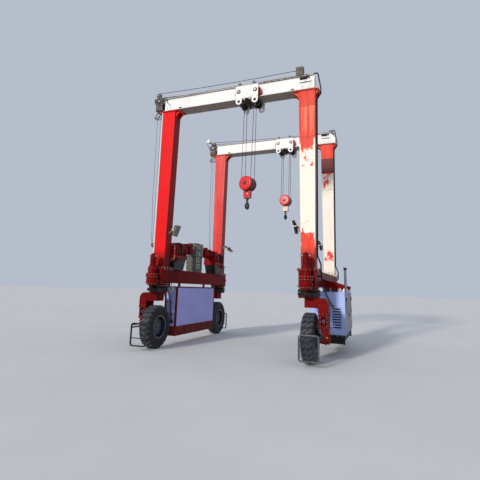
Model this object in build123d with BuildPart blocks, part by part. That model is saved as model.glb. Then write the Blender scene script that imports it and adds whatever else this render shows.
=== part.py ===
from build123d import *
import math
import os

os.makedirs("parts", exist_ok=True)

# ----------------------------------------------------------------------------
# Mobile gantry crane, millimetres. X runs across the span, Y is the travel
# direction (front is -Y), Z is up. The origin is on the ground, midway between
# the four wheels.
# ----------------------------------------------------------------------------

# legs
LEG_X, LEG_Y = 2250, 2125          # leg centre lines
LEG_DEPTH = 343                    # along Y
LEG_W_BOT, LEG_W_TOP = 374, 464    # along X
LEG_WALL = 10
LEG_BASE_T, LEG_CAP_T = 30, 20     # bolted base flange, top flange

# lower side beams
SIDE_Z0, SIDE_Z1 = 1887, 2297
SIDE_W, SIDE_HALF, SIDE_WALL = 436, 2475, 12
DRIVE_Y = 2600                     # steering drive axis, in front of the beam's end

# top beams
BEAM_Z0, BEAM_Z1 = 7394, 7837
BEAM_X0, BEAM_X1 = -2420, 2470
BEAM_REAR_X1 = 2570
WEB_HALF, WEB_T = 165, 12
TOP_FLANGE_W, TOP_FLANGE_T = 410, 14
RAIL_W, RAIL_T = 450, 20           # bottom flange that carries the trolley wheels

# running gear
SLEW_X, SLEW_Y = 2250, 2200
SLEW_R = 285                       # gear ring, outer
SLEW_BORE, SLEW_INNER = 215, 205   # bore of the turning ring, fixed inner ring
RING_Z0, RING_Z1 = 1615, 1725      # turning half with the gear
FIXED_Z0 = 1731                    # fixed half under the side beam
WHEEL_X = 2278
TYRE_R, TYRE_W = 613, 315
RIM_R = 305
SPINDLE_R, SPINDLE_FIT = 45, 0.1
ARM_END = 2170                     # inner end of the knuckle's top arm
ARM_IN, ARM_OUT = 2510, 2752       # outer arm of the knuckle
CASE_IN, CASE_OUT, CASE_R = 2552, 2748, 130
GUARD_Y, GUARD_R = 2900, 17.5

# trolleys and hooks
TROLLEY_HALF, TROLLEY_Z0, TROLLEY_Z1 = 350, 7330, 7740
PLATE_Y, PLATE_T = 345, 20
AXLE_X, AXLE_Z = 260, 7557
EAR_X, EAR_Z, EAR_R, EAR_HOLE_R = 250, 7243, 95, 34
SHEAVE_X, SHEAVE_Y, SHEAVE_Z, SHEAVE_R = 235, 95, 7275, 95
BLOCK_R, BLOCK_W, HOOK_TURN = 217, 380, 82

# corner table: name, side of X, side of Y
CORNERS = (
    ("front_left", -1, -1),
    ("front_right", 1, -1),
    ("rear_left", -1, 1),
    ("rear_right", 1, 1),
)
# trolley table: name, beam Y, trolley X, hook X, sheave-housing centre Z, its turn about Z
TROLLEYS = (
    ("front", -LEG_Y, 500, 474, 4775, -12),
    ("rear", LEG_Y, 610, 580, 5250, -5),
)


def save(piece, name):
    piece.part.label = name
    export_step(piece.part, f"parts/{name}.step")


def xz(y, x0=0, z0=0):
    """Upright sketch plane at y whose own axes run along X and Z from x0, z0."""
    return Plane(origin=(x0, y, z0), x_dir=(1, 0, 0), z_dir=(0, -1, 0))


# ---------------------------------------------------------------- top beams
# name, Y, right end X, corner cut at the right end
for name, by, x1, cut in (
    ("front_beam", -LEG_Y, BEAM_X1, 0),
    ("rear_beam", LEG_Y, BEAM_REAR_X1, 150),
):
    with BuildPart() as beam:
        mid = (BEAM_Z0 + BEAM_Z1) / 2
        in_z0, in_z1 = BEAM_Z0 + RAIL_T, BEAM_Z1 - TOP_FLANGE_T
        with BuildSketch(Plane.YZ.offset(BEAM_X0)):
            with Locations((by, mid)):
                Rectangle(2 * WEB_HALF, BEAM_Z1 - BEAM_Z0)
            with Locations((by, BEAM_Z1 - TOP_FLANGE_T / 2)):
                Rectangle(TOP_FLANGE_W, TOP_FLANGE_T)
            with Locations((by, BEAM_Z0 + RAIL_T / 2)):
                Rectangle(RAIL_W, RAIL_T)
        extrude(amount=x1 - BEAM_X0)
        with BuildSketch(Plane.YZ.offset(BEAM_X0 + 16)):
            with Locations((by, (in_z0 + in_z1) / 2)):
                Rectangle(2 * (WEB_HALF - WEB_T), in_z1 - in_z0)
        extrude(amount=x1 - BEAM_X0 - 32 - cut, mode=Mode.SUBTRACT)
        # oval rope slots through both webs near the right end
        with BuildSketch(xz(by)):
            with Locations((2193, 7771)):
                SlotOverall(300, 90)
        extrude(amount=WEB_HALF + 5, both=True, mode=Mode.SUBTRACT)
        # square lip under each slot
        with Locations((2212, by - WEB_HALF - 17, 7664), (2212, by + WEB_HALF + 17, 7664)):
            Box(320, 34, 54)
        if cut:
            with BuildSketch(xz(by)):
                with BuildLine():
                    Polyline(
                        (x1 - cut, BEAM_Z1 + 1), (x1 + 1, BEAM_Z1 + 1),
                        (x1 + 1, BEAM_Z1 - 1.4 * cut), (x1 - cut, BEAM_Z1 + 1),
                    )
                make_face()
            extrude(amount=300, both=True, mode=Mode.SUBTRACT)
    save(beam, name)

# --------------------------------------------------------------------- legs
for corner, sx, sy in CORNERS:
    cx, cy = sx * LEG_X, sy * LEG_Y
    z0, z1 = SIDE_Z1, BEAM_Z0
    hb, ht = LEG_W_BOT / 2, LEG_W_TOP / 2
    with BuildPart() as leg:
        with BuildSketch(xz(cy)):
            with BuildLine():
                Polyline((cx - hb, z0), (cx + hb, z0), (cx + ht, z1), (cx - ht, z1), close=True)
            make_face()
        extrude(amount=LEG_DEPTH / 2, both=True)
        with BuildSketch(xz(cy)):
            with BuildLine():
                Polyline(
                    (cx - hb + LEG_WALL, z0 + LEG_BASE_T), (cx + hb - LEG_WALL, z0 + LEG_BASE_T),
                    (cx + ht - LEG_WALL, z1 - LEG_CAP_T), (cx - ht + LEG_WALL, z1 - LEG_CAP_T), close=True,
                )
            make_face()
        extrude(amount=LEG_DEPTH / 2 - LEG_WALL, both=True, mode=Mode.SUBTRACT)
        # bolted base flange and top flange, each with a drain hole into the box
        with Locations((cx, cy, z0 + LEG_BASE_T / 2)):
            Box(560, 508, LEG_BASE_T)
        with Locations((cx, cy, z1 - LEG_CAP_T / 2)):
            Box(690, 400, LEG_CAP_T)
        with Locations((cx, cy, z0 + LEG_BASE_T / 2), (cx, cy, z1 - LEG_CAP_T / 2)):
            Cylinder(55, LEG_BASE_T + 2, mode=Mode.SUBTRACT)
        # gussets: straight on the outer side, curved haunch on the inner side
        for off in (-120, 120):
            with BuildSketch(xz(cy + off)):
                with BuildLine():
                    Polyline(
                        (cx + sx * (ht - 12), z1 - LEG_CAP_T), (cx + sx * 340, z1 - LEG_CAP_T),
                        (cx + sx * (ht - 12), z1 - 210), (cx + sx * (ht - 12), z1 - LEG_CAP_T),
                    )
                make_face()
            extrude(amount=8, both=True)
            with BuildSketch(xz(cy + off, cx - sx * (ht - 14), z1 - LEG_CAP_T)):
                with BuildLine():
                    Line((0, 0), (0, -340))
                    ThreePointArc((0, -340), (-sx * 71, -123), (-sx * 212, 0))
                    Line((-sx * 212, 0), (0, 0))
                make_face()
            extrude(amount=8, both=True)
        # haunch cap strip that carries the curved plates out to the beam
        with Locations((cx - sx * 330, cy, z1 - LEG_CAP_T / 2)):
            Box(200, 300, LEG_CAP_T)
        # base ribs front and back
        for s in (-1, 1):
            for off in (-110, 0, 110):
                with BuildSketch(Plane.YZ.offset(cx + off)):
                    with BuildLine():
                        y_in, y_out = cy + s * (LEG_DEPTH / 2 - 6), cy + s * 236
                        Polyline((y_in, z0 + LEG_BASE_T), (y_out, z0 + LEG_BASE_T), (y_in, z0 + 210), close=True)
                    make_face()
                extrude(amount=7, both=True)
    save(leg, f"{corner}_leg")

# --------------------------------------------------------------- side beams
for side, sx in (("left", -1), ("right", 1)):
    cx = sx * LEG_X
    zc = (SIDE_Z0 + SIDE_Z1) / 2
    with BuildPart() as sb:
        with Locations((cx, 0, zc)):
            Box(SIDE_W, 2 * SIDE_HALF, SIDE_Z1 - SIDE_Z0)
            # hollow up to the solid end blocks
            Box(SIDE_W - 2 * SIDE_WALL, 2 * SIDE_HALF - 220, SIDE_Z1 - SIDE_Z0 - 2 * SIDE_WALL, mode=Mode.SUBTRACT)
        # round recess in each end for the steering drive
        with Locations((cx, DRIVE_Y, zc), (cx, -DRIVE_Y, zc)):
            Cylinder(183, SIDE_Z1 - SIDE_Z0 + 2, mode=Mode.SUBTRACT)
    save(sb, f"{side}_side_beam")

# fixed half of each slewing bearing: flanges under the beam, and an inner
# ring that reaches down into the turning ring
with BuildPart() as seats:
    for corner, sx, sy in CORNERS:
        cx, cy = sx * SLEW_X, sy * SLEW_Y
        for r, a, b in ((SLEW_R, FIXED_Z0, 1790), (250, 1790, SIDE_Z0 - 16), (300, SIDE_Z0 - 16, SIDE_Z0), (SLEW_INNER, 1632, FIXED_Z0)):
            with Locations((cx, cy, (a + b) / 2)):
                Cylinder(r, b - a)
        with Locations((cx, cy, (1632 + SIDE_Z0) / 2)):
            Cylinder(110, SIDE_Z0 - 1632 + 2, mode=Mode.SUBTRACT)
        # flat on the top flange, clear of the steering drive
        with Locations((cx, cy + sy * 330, 1865)):
            Box(700, 200, 50, mode=Mode.SUBTRACT)
save(seats, "slewing_seats")

# ---------------------------------------------------------- steering drives
# radius, Z along the outline of the upright planetary drive: pinion, flange,
# two gear stages, tapered neck, brake and motor
DRIVE = (
    (0, 1632), (45, 1632), (45, 1640), (105, 1640), (105, 1720), (60, 1720), (60, 1790), (110, 1790), (110, 1850),
    (165, 1850), (165, 1882), (150, 1890), (158, 1912), (158, 1985), (148, 2002), (142, 2012), (160, 2024),
    (177, 2042), (177, 2108), (162, 2142), (128, 2150), (122, 2244), (135, 2250), (135, 2276), (124, 2286),
    (116, 2335), (94, 2366), (94, 2392), (80, 2396), (80, 2560), (90, 2566), (90, 2590), (74, 2596), (74, 2690),
    (60, 2705), (0, 2705),
)
with BuildPart() as drives:
    for corner, sx, sy in CORNERS:
        cx, cy = sx * SLEW_X, sy * DRIVE_Y
        with BuildSketch(xz(cy, cx)):
            with BuildLine():
                Polyline(*DRIVE, close=True)
            make_face()
        revolve(axis=Axis((cx, cy, 0), (0, 0, 1)))
        # lugs bolted to the end of the side beam
        for z, t in ((1930, 30), (2075, 40)):
            with Locations((cx, sy * (SIDE_HALF + 50), z)):
                Box(330, 100, t)
save(drives, "steering_drives")

# ------------------------------------------------------------- running gear
for corner, sx, sy in CORNERS:
    cx, cy = sx * SLEW_X, sy * SLEW_Y
    wx, wz = sx * WHEEL_X, TYRE_R

    # turning half of the slewing bearing: gear ring over a bolted ring
    with BuildPart() as ring:
        with Locations((cx, cy, (RING_Z0 + RING_Z1) / 2)):
            Cylinder(SLEW_R - 12, RING_Z1 - RING_Z0)
        with Locations((cx, cy, RING_Z1 - 45)):
            Cylinder(SLEW_R, 70)
        with Locations((cx, cy, (RING_Z0 + RING_Z1) / 2)):
            Cylinder(SLEW_BORE, RING_Z1 - RING_Z0 + 2, mode=Mode.SUBTRACT)
    save(ring, f"{corner}_slew_ring")

    # knuckle: round plate, top arm, outer arm, motor housing, final-drive case, spindle
    with BuildPart() as kn:
        with Locations((cx, cy, RING_Z0 - 15)):
            Cylinder(SLEW_R - 13, 30)
        with BuildSketch(xz(cy)):
            with BuildLine():
                Polyline(
                    (sx * ARM_END, 1352), (sx * ARM_END, 1590), (sx * ARM_OUT, 1590), (sx * ARM_OUT, 1172),
                    (sx * ARM_IN, 1172), (sx * ARM_IN, 1352), close=True,
                )
            arm = make_face()
            outer = arm.vertices().sort_by_distance((sx * ARM_OUT, 1590, 0))[0]
            inner = arm.vertices().sort_by_distance((sx * ARM_IN, 1352, 0))[0]
            fillet(outer, 165)
            fillet(inner, 62)
        extrude(amount=200, both=True)
        # raised cover plates on the outer arm
        with Locations((sx * (ARM_IN + ARM_OUT) / 2, cy, 1320)):
            Box(ARM_OUT - ARM_IN - 24, 424, 250)
        # motor housing between two bolted flange plates
        with Locations((sx * (ARM_IN + ARM_OUT) / 2, cy, 1172)):
            Box(ARM_OUT - ARM_IN + 14, 416, 40)
        with Locations((sx * (ARM_IN + ARM_OUT) / 2, cy, 1015)):
            Box(ARM_OUT - ARM_IN - 6, 360, 300)
        with Locations((sx * (ARM_IN + ARM_OUT) / 2, cy, 869)):
            Box(ARM_OUT - ARM_IN + 10, 380, 36)
        # case, round at the bottom about the wheel axis
        with BuildSketch(Plane.YZ.offset(sx * CASE_IN)):
            with Locations((cy, (wz + 870) / 2)):
                Rectangle(2 * CASE_R, 870 - wz)
            with Locations((cy, wz)):
                Circle(CASE_R)
        extrude(amount=sx * (CASE_OUT - CASE_IN))
        # window in the travel-side face, with the drive motor in it
        with Locations((sx * 2636, cy + sy * (180 - 40), 1030)):
            Box(132, 90, 220, mode=Mode.SUBTRACT)
        with Locations(Location((sx * 2636, cy + sy * 118, 1040), (90, 0, 0))):
            Cylinder(50, 60)
        with Locations((sx * 2636, cy + sy * 150, 1040)):
            Box(38, 24, 120)
        # spindle boss and spindle
        with Locations(Location((sx * 2530, cy, wz), (0, 90, 0))):
            Cylinder(115, 60)
        with Locations(Location((sx * 2395, cy, wz), (0, 90, 0))):
            Cylinder(SPINDLE_R, 330)
        # outer cover of the planetary stage
        with Locations(Location((sx * (CASE_OUT + 9), cy, wz), (0, 90, 0))):
            Cylinder(105, 18)
    save(kn, f"{corner}_knuckle")

    # wheel guard: rounded tube loop in front of the tyre, mesh panel or bar, two arms
    with BuildPart() as guard:
        gx0, gx1, gz0, gz1 = 2118, 2592, 148, 742
        with BuildSketch(xz(sy * GUARD_Y)):
            with Locations((sx * (gx0 + gx1) / 2, (gz0 + gz1) / 2)):
                RectangleRounded(gx1 - gx0 + 35, gz1 - gz0 + 35, 85)
                RectangleRounded(gx1 - gx0 - 35, gz1 - gz0 - 35, 50, mode=Mode.SUBTRACT)
        extrude(amount=GUARD_R, both=True)
        if sx > 0:
            with Locations((sx * (gx0 + gx1) / 2, sy * GUARD_Y, (gz0 + gz1) / 2)):
                Box(gx1 - gx0 - 20, 4, gz1 - gz0 - 20)
        else:
            with Locations(Location((sx * (gx0 + gx1) / 2, sy * GUARD_Y, 350), (0, 90, 0))):
                Cylinder(12, gx1 - gx0)
        for gz in (632, 700):
            with Locations((sx * 2585, sy * (GUARD_Y + SLEW_Y + CASE_R) / 2, gz)):
                Box(35, GUARD_Y - SLEW_Y - CASE_R, 35)
    save(guard, f"{corner}_wheel_guard")

    # wheel: local axial offsets a are from the tyre's middle plane, + outboard
    wheel_plane = Plane(origin=(wx, cy, wz), x_dir=(sx, 0, 0), z_dir=(0, -sx, 0))
    axis = Axis((wx, cy, wz), (1, 0, 0))
    hw = TYRE_W / 2
    with BuildPart() as tyre:
        with BuildSketch(wheel_plane):
            with BuildLine():
                Line((-118, RIM_R), (-140, RIM_R + 25))
                ThreePointArc((-140, RIM_R + 25), (-hw, 470), (-hw + 8, 575))
                Line((-hw + 8, 575), (-hw + 40, TYRE_R))
                Line((-hw + 40, TYRE_R), (hw - 40, TYRE_R))
                Line((hw - 40, TYRE_R), (hw - 8, 575))
                ThreePointArc((hw - 8, 575), (hw, 470), (140, RIM_R + 25))
                Line((140, RIM_R + 25), (118, RIM_R))
                Line((118, RIM_R), (90, RIM_R))
                Line((90, RIM_R), (105, 360))
                Line((105, 360), (112, 530))
                Line((112, 530), (80, 556))
                Line((80, 556), (-80, 556))
                Line((-80, 556), (-112, 530))
                Line((-112, 530), (-105, 360))
                Line((-105, 360), (-90, RIM_R))
                Line((-90, RIM_R), (-118, RIM_R))
            make_face()
        revolve(axis=axis)
    save(tyre, f"{corner}_tyre")

    with BuildPart() as rim:
        with BuildSketch(wheel_plane):
            with BuildLine():
                Polyline(
                    (-153, 332), (-143, 332), (-143, 304), (143, 304), (143, 332), (153, 332), (153, 290),
                    (60, 290), (46, 205), (46, 125), (208, 125), (208, SPINDLE_R + SPINDLE_FIT),
                    (-55, SPINDLE_R + SPINDLE_FIT), (-55, 0), (-70, 0), (-70, 110), (26, 110), (26, 205),
                    (38, 290), (-153, 290), close=True,
                )
            make_face()
        revolve(axis=axis)
    save(rim, f"{corner}_rim")

# ----------------------------------------------------------------- trolleys
for name, by, tx, hx, hz, turn in TROLLEYS:
    with BuildPart() as frame:
        # outer and inner plates with round ears below
        with BuildSketch(xz(by)):
            with Locations((tx, (TROLLEY_Z0 + TROLLEY_Z1) / 2)):
                RectangleRounded(2 * TROLLEY_HALF, TROLLEY_Z1 - TROLLEY_Z0, 45)
            for s in (-1, 1):
                with Locations((tx + s * EAR_X, EAR_Z)):
                    Circle(EAR_R)
                with Locations((tx + s * EAR_X, (EAR_Z + TROLLEY_Z0 + 20) / 2)):
                    Rectangle(2 * EAR_R, TROLLEY_Z0 + 20 - EAR_Z)
            for s in (-1, 1):
                with Locations((tx + s * EAR_X, EAR_Z)):
                    Circle(EAR_HOLE_R, mode=Mode.SUBTRACT)
                with Locations((tx + s * AXLE_X, AXLE_Z)):
                    Circle(36, mode=Mode.SUBTRACT)
        extrude(amount=PLATE_Y + PLATE_T, both=True)
        with Locations((tx, by, 7440)):
            Box(2 * TROLLEY_HALF + 10, 2 * PLATE_Y, 720, mode=Mode.SUBTRACT)
        # cross members under the beam
        with Locations((tx - 92, by, 7335), (tx + 92, by, 7335)):
            Box(60, 2 * PLATE_Y, 70)
        # sheave cheeks
        for off in (-150, 0, 150):
            with BuildSketch(xz(by + off)):
                with BuildLine():
                    Polyline(
                        (tx - 335, 7368), (tx - 335, 7290), (tx - 275, 7215), (tx - 190, 7215), (tx - 90, 7300),
                        (tx + 90, 7300), (tx + 190, 7215), (tx + 275, 7215), (tx + 335, 7290), (tx + 335, 7368),
                        close=True,
                    )
                make_face()
                with Locations((tx - SHEAVE_X, SHEAVE_Z), (tx + SHEAVE_X, SHEAVE_Z)):
                    Circle(21, mode=Mode.SUBTRACT)
            extrude(amount=7, both=True)
    save(frame, f"{name}_trolley_frame")

    with BuildPart() as tw:
        for s in (-1, 1):
            for q in (-1, 1):
                at = (tx + s * AXLE_X, by, AXLE_Z)
                # radius, inner and outer distance from the beam's middle plane
                for r, a, b in ((142.5, 170, 230), (155, 232, 252), (60, 225, 340), (35, 340, 388), (48, 368, 380)):
                    with Locations(Location((at[0], by + q * (a + b) / 2, AXLE_Z), (90, 0, 0))):
                        Cylinder(r, b - a + (4 if r == 155 else 0))
    save(tw, f"{name}_trolley_wheels")

    with BuildPart() as sh:
        for s in (-1, 1):
            with Locations(Location((tx + s * SHEAVE_X, by, SHEAVE_Z), (90, 0, 0))):
                Cylinder(20, 330)
            for q in (-112, 112):
                with BuildSketch(Plane(origin=(tx + s * SHEAVE_X, by + q, SHEAVE_Z), x_dir=(0, 1, 0), z_dir=(1, 0, 0))):
                    with BuildLine():
                        Polyline(
                            (-22, 19), (22, 19), (22, SHEAVE_R), (12, SHEAVE_R), (5, SHEAVE_R - 18),
                            (-5, SHEAVE_R - 18), (-12, SHEAVE_R), (-22, SHEAVE_R), close=True,
                        )
                    make_face()
                revolve(axis=Axis((tx + s * SHEAVE_X, by, SHEAVE_Z), (0, 1, 0)))
    save(sh, f"{name}_trolley_sheaves")

    # hook block: sheave housing turned a little about the vertical, yoke below
    yaw = math.radians(turn)
    ax = Vector(-math.sin(yaw), math.cos(yaw), 0)
    block_plane = Plane(origin=(hx, by, hz), x_dir=ax, z_dir=Vector(-math.cos(yaw), -math.sin(yaw), 0))
    with BuildPart() as block:
        with BuildSketch(block_plane):
            with BuildLine():
                h, r = BLOCK_W / 2, BLOCK_R
                Line((-h, 0), (-h, 48))
                Line((-h, 48), (-h + 12, 60))
                Line((-h + 12, 60), (-h + 14, r - 60))
                ThreePointArc((-h + 14, r - 60), (-h + 27, r - 18), (-h + 58, r))
                Line((-h + 58, r), (-h + 66, r))
                Line((-h + 66, r), (-h + 70, r - 26))
                Line((-h + 70, r - 26), (-h + 100, r - 26))
                Line((-h + 100, r - 26), (-h + 104, r - 8))
                Line((-h + 104, r - 8), (h - 104, r - 8))
                Line((h - 104, r - 8), (h - 100, r - 26))
                Line((h - 100, r - 26), (h - 70, r - 26))
                Line((h - 70, r - 26), (h - 66, r))
                Line((h - 66, r), (h - 58, r))
                ThreePointArc((h - 58, r), (h - 27, r - 18), (h - 14, r - 60))
                Line((h - 14, r - 60), (h - 12, 60))
                Line((h - 12, 60), (h, 48))
                Line((h, 48), (h, 0))
                Line((h, 0), (-h, 0))
            make_face()
        revolve(axis=Axis((hx, by, hz), (ax.X, ax.Y, 0)))
        with Locations(Location((hx, by, hz - 310), (0, 0, turn))):
            Box(212, 112, 240)
        with Locations((hx, by, hz - 385)):
            Cylinder(34.1, 110, mode=Mode.SUBTRACT)
    save(block, f"{name}_hook_block")

    # single hook, hung in the yoke by its shank
    top = hz - 345
    t = math.radians(HOOK_TURN)
    hook_plane = Plane(origin=(hx, by, top), x_dir=(math.cos(t), math.sin(t), 0), z_dir=(math.sin(t), -math.cos(t), 0))
    with BuildPart() as hook:
        with BuildLine(hook_plane):
            l1 = Line((0, 0), (0, -185))
            j1 = JernArc(start=l1 @ 1, tangent=l1 % 1, radius=60, arc_size=45)
            l2 = Line(j1 @ 1, j1 @ 1 + (j1 % 1) * 38)
            j2 = JernArc(start=l2 @ 1, tangent=l2 % 1, radius=80, arc_size=-235)
        with BuildSketch(Plane(origin=(hx, by, top), z_dir=(0, 0, -1))):
            Circle(31)
        sweep()
        with Locations((hx, by, top - 45)):
            Cylinder(34, 90)
    save(hook, f"{name}_hook")

# ------------------------------------------------------------------ winches
WINCH_X, DRUM_Z, DRUM_R = -2170, 2900, 225
with BuildPart() as wf:
    for s in (-1, 1):
        # two channels and cross members that carry the winch
        for off in (-222, 222):
            with Locations((WINCH_X + off, s * 1530, 2700)):
                Box(44, 800, 120)
        with Locations((WINCH_X, s * 1160, 2695)):
            Box(410, 60, 110)
        with Locations((WINCH_X, s * 1580, 2648)):
            Box(410, 60, 16)
        # gear housing at the outer end, bearing housing at the inner end
        with BuildSketch(xz(s * 1815)):
            with Locations((WINCH_X, 2822)):
                RectangleRounded(500, 562, 130)
        extrude(amount=112, both=True)
        with BuildSketch(xz(s * 1295)):
            with BuildLine():
                Polyline(
                    (WINCH_X - 225, 2755), (WINCH_X + 225, 2755), (WINCH_X + 225, 3060), (WINCH_X + 130, 3165),
                    (WINCH_X - 130, 3165), (WINCH_X - 225, 3060), close=True,
                )
            make_face()
        extrude(amount=162, both=True)
save(wf, "winch_frames")

# black pedestals between the side beam and the winch channels
with BuildPart() as wp:
    for s in (-1, 1):
        with BuildSketch(Plane.YZ.offset(WINCH_X)):
            with BuildLine():
                Polyline((s * 1865, SIDE_Z1), (s * 1280, SIDE_Z1), (s * 1140, 2640), (s * 1700, 2640), (s * 1700, 2541), (s * 1865, 2541), close=True)
            make_face()
        extrude(amount=206, both=True)
save(wp, "winch_pedestals")

with BuildPart() as wd:
    for s in (-1, 1):
        for r, a, b in ((DRUM_R - 30, 1457, 1703), (DRUM_R + 15, 1457, 1475), (DRUM_R + 15, 1685, 1703)):
            with Locations(Location((WINCH_X, s * (a + b) / 2, DRUM_Z), (90, 0, 0))):
                Cylinder(r, b - a)
save(wd, "winch_drums")

with BuildPart() as wm:
    for s in (-1, 1):
        for r, a, b in ((150, 1060, 1133), (128, 760, 1060), (150, 700, 760), (142, 520, 700), (60, 480, 520)):
            with Locations(Location((WINCH_X, s * (a + b) / 2, 3010), (90, 0, 0))):
                Cylinder(r, b - a)
        with Locations((WINCH_X + 60, s * 600, 3175)):
            Box(120, 150, 100)
save(wm, "winch_motors")

# stack of four grey tanks, each with a round cap on its inner face
with BuildPart() as stack:
    for i in range(4):
        zc = 2297 + 95 + 225 * i + 112
        dx = -30 if i < 2 else 0
        with Locations((-2200 + dx, -35, zc)):
            Box(330, 550, 219)
        with Locations(Location((-2200 + dx + 165 + 12, -20, zc), (0, 90, 0))):
            Cylinder(70, 26)
    for i in range(3):
        with Locations((-2200, -35, 2297 + 95 + 225 * (i + 1))):
            Box(290, 500, 12)
    with Locations((-2215, -35, 2297 + 49)):
        Box(340, 520, 98)
save(stack, "tank_stack")

# ----------------------------------------------------------- beam-end pulleys
with BuildPart() as ends:
    # beam's middle plane, lift and reach of its head frame, middle of its top pulley
    for by, up, out, top_x, top_z in ((-LEG_Y, 95, 45, -2788, 8100), (LEG_Y, 15, 0, -2650, 7985)):
        low = max(0, up - 19)
        # mounting plate and head frame bolted to the left end of each beam
        with Locations((-2431, by, 7690 + up / 2)):
            Box(22, 300, 300 + up)
        with Locations((-2636 - out / 2, by, 7836 + up)):
            Box(400 + out, 250, 18)
        for off in (-118, 118):
            with BuildSketch(xz(by + off)):
                with BuildLine():
                    Polyline(
                        (-2436, 7830 + up), (-2826 - out, 7830 + up), (-2838 - out, 7760 + up), (-2800 - out, 7640 + up),
                        (-2720 - out, 7585 + up), (-2560, 7585 + up), (-2436, 7640 + up), close=True,
                    )
                make_face()
            extrude(amount=7, both=True)
        with Locations(Location((-2650 - out, by, 7712 + up), (90, 0, 0))):
            Cylinder(108, 90)
            Cylinder(26, 290)
        # small pulley on top in its own cheeks
        for off in (-48, 48):
            with BuildSketch(xz(by + off)):
                with BuildLine():
                    Polyline(
                        (-2600, 7835 + up), (-2790, 7835 + up), (top_x - 60, top_z), (top_x - 32, top_z + 45),
                        (top_x + 28, top_z + 45), (top_x + 60, top_z), close=True,
                    )
                make_face()
            extrude(amount=5, both=True)
        with Locations(Location((top_x, by, top_z), (90, 0, 0))):
            Cylinder(84, 60)
            Cylinder(17, 130)
        # switch box under the head frame, open rope-guide triangles below it
        with Locations((-2660 - out / 2, by, 7523 + up * 0.75)):
            Box(260, 240, 145 + up * 0.45)
        for off in (-70, 70):
            with BuildSketch(xz(by + off)):
                with BuildLine():
                    Polyline(
                        (-2655 - out, 7500 + low), (-2640 - out, 7450 + low), (-2486 - out, 7168 + low),
                        (-2826 - out, 7196 + low), (-2672 - out, 7450 + low), close=True,
                    )
                make_face()
                with BuildLine():
                    Polyline((-2656 - out, 7425 + low), (-2525 - out, 7193 + low), (-2784 - out, 7215 + low), close=True)
                make_face(mode=Mode.SUBTRACT)
            extrude(amount=8, both=True)
        with Locations(
            Location((-2812 - out, by, 7201 + low), (90, 0, 0)), Location((-2502 - out, by, 7179 + low), (90, 0, 0))
        ):
            Cylinder(12, 156)
    # rope anchor box on top of the front beam's right end
    with Locations((1960, -LEG_Y, 7837 + 46), (2095, -LEG_Y, 7837 + 46)):
        Box(50, 150, 92)
    with Locations((2027, -LEG_Y, 8060)):
        Box(210, 200, 270)
save(ends, "beam_end_pulleys")

# --------------------------------------------------------------- power pack
PX0, PX1, PY, PZ0, PZ1, PT = 2110, 3050, 1180, 615, 1750, 30
HINGE_X, HINGE_Y, HINGE_R = PX1 + 6, 1150, 5.5
HINGE_Z = (800, 1180, 1560)
with BuildPart() as base:
    with Locations(((PX0 + PX1) / 2, 0, PZ0 - 25)):
        Box(PX1 - PX0 - 40, 2 * PY - 40, 50)
    with BuildSketch(xz(0)):
        with BuildLine():
            Polyline((2420, 566), (3020, 566), (3020, 446), (2950, 366), (2490, 366), (2420, 446), close=True)
        make_face()
    extrude(amount=1050, both=True)
    with Locations((PX1 - 45, 50 - PY, 468), (PX1 - 45, PY - 50, 468)):
        Box(50, 50, 204)
save(base, "power_pack_base")

with BuildPart() as shell:
    with Locations(((PX0 + PX1) / 2, 0, (PZ0 + PZ1) / 2)):
        Box(PX1 - PX0, 2 * PY, PZ1 - PZ0)
    with Locations(((PX0 + PX1) / 2 + PT, 0, (PZ0 + PZ1) / 2)):
        Box(PX1 - PX0, 2 * (PY - PT), PZ1 - PZ0 - 2 * PT, mode=Mode.SUBTRACT)
    # eight cooling slots in the front wall and eight in the rear wall
    for i in range(8):
        z = 806 + 70 * i
        with Locations((2827, -PY + PT / 2, z), (2827, PY - PT / 2, z)):
            Box(224, PT + 4, 34, mode=Mode.SUBTRACT)
    # fixed hinge leaves and their knuckles, above and below each door knuckle
    for s in (-1, 1):
        for hz in HINGE_Z:
            with Locations((PX1 + 1.75, s * (HINGE_Y + 18), hz)):
                Box(3.5, 22, 130)
            with Locations((HINGE_X, s * HINGE_Y, hz - 48), (HINGE_X, s * HINGE_Y, hz + 48)):
                Cylinder(HINGE_R, 34)
            with Locations((HINGE_X - 3, s * (HINGE_Y + 5), hz - 48), (HINGE_X - 3, s * (HINGE_Y + 5), hz + 48)):
                Box(5, 6, 34)
save(shell, "power_pack_shell")

for end, s in (("front", -1), ("rear", 1)):
    with BuildPart() as door:
        with Locations((PX1 - PT / 2, s * (PY - PT + 6) / 2, (PZ0 + PZ1) / 2)):
            Box(PT, PY - PT - 18, PZ1 - PZ0 - 2 * PT - 16)
        # upright cooling slots in the door
        for i in range(5):
            with Locations((PX1 - PT / 2, s * (460 + 70 * i), 1330)):
                Box(PT + 4, 26, 330, mode=Mode.SUBTRACT)
        # hinge leaves and knuckles on the door's outer edge
        for hz in HINGE_Z:
            with Locations((PX1 + 1.75, s * (HINGE_Y - 33), hz)):
                Box(3.5, 56, 60)
            with Locations((HINGE_X, s * HINGE_Y, hz)):
                Cylinder(HINGE_R, 60)
            with Locations((HINGE_X - 3, s * (HINGE_Y - 5), hz)):
                Box(5, 6, 60)
    save(door, f"power_pack_{end}_door")

with BuildPart() as engine:
    with Locations((2560, -100, 1020)):
        Box(620, 1150, 750)
save(engine, "engine_block")

with BuildPart() as exhaust:
    with BuildSketch(Plane.XY.offset(PZ1)):
        with Locations((2988, -80)):
            Circle(38)
    extrude(amount=700)
    with Locations((2988, -80, PZ1 + 15)):
        Cylinder(62, 30)
    with Locations((2988, -80, PZ1 + 705)):
        Cylinder(48, 70)
save(exhaust, "exhaust")

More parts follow.
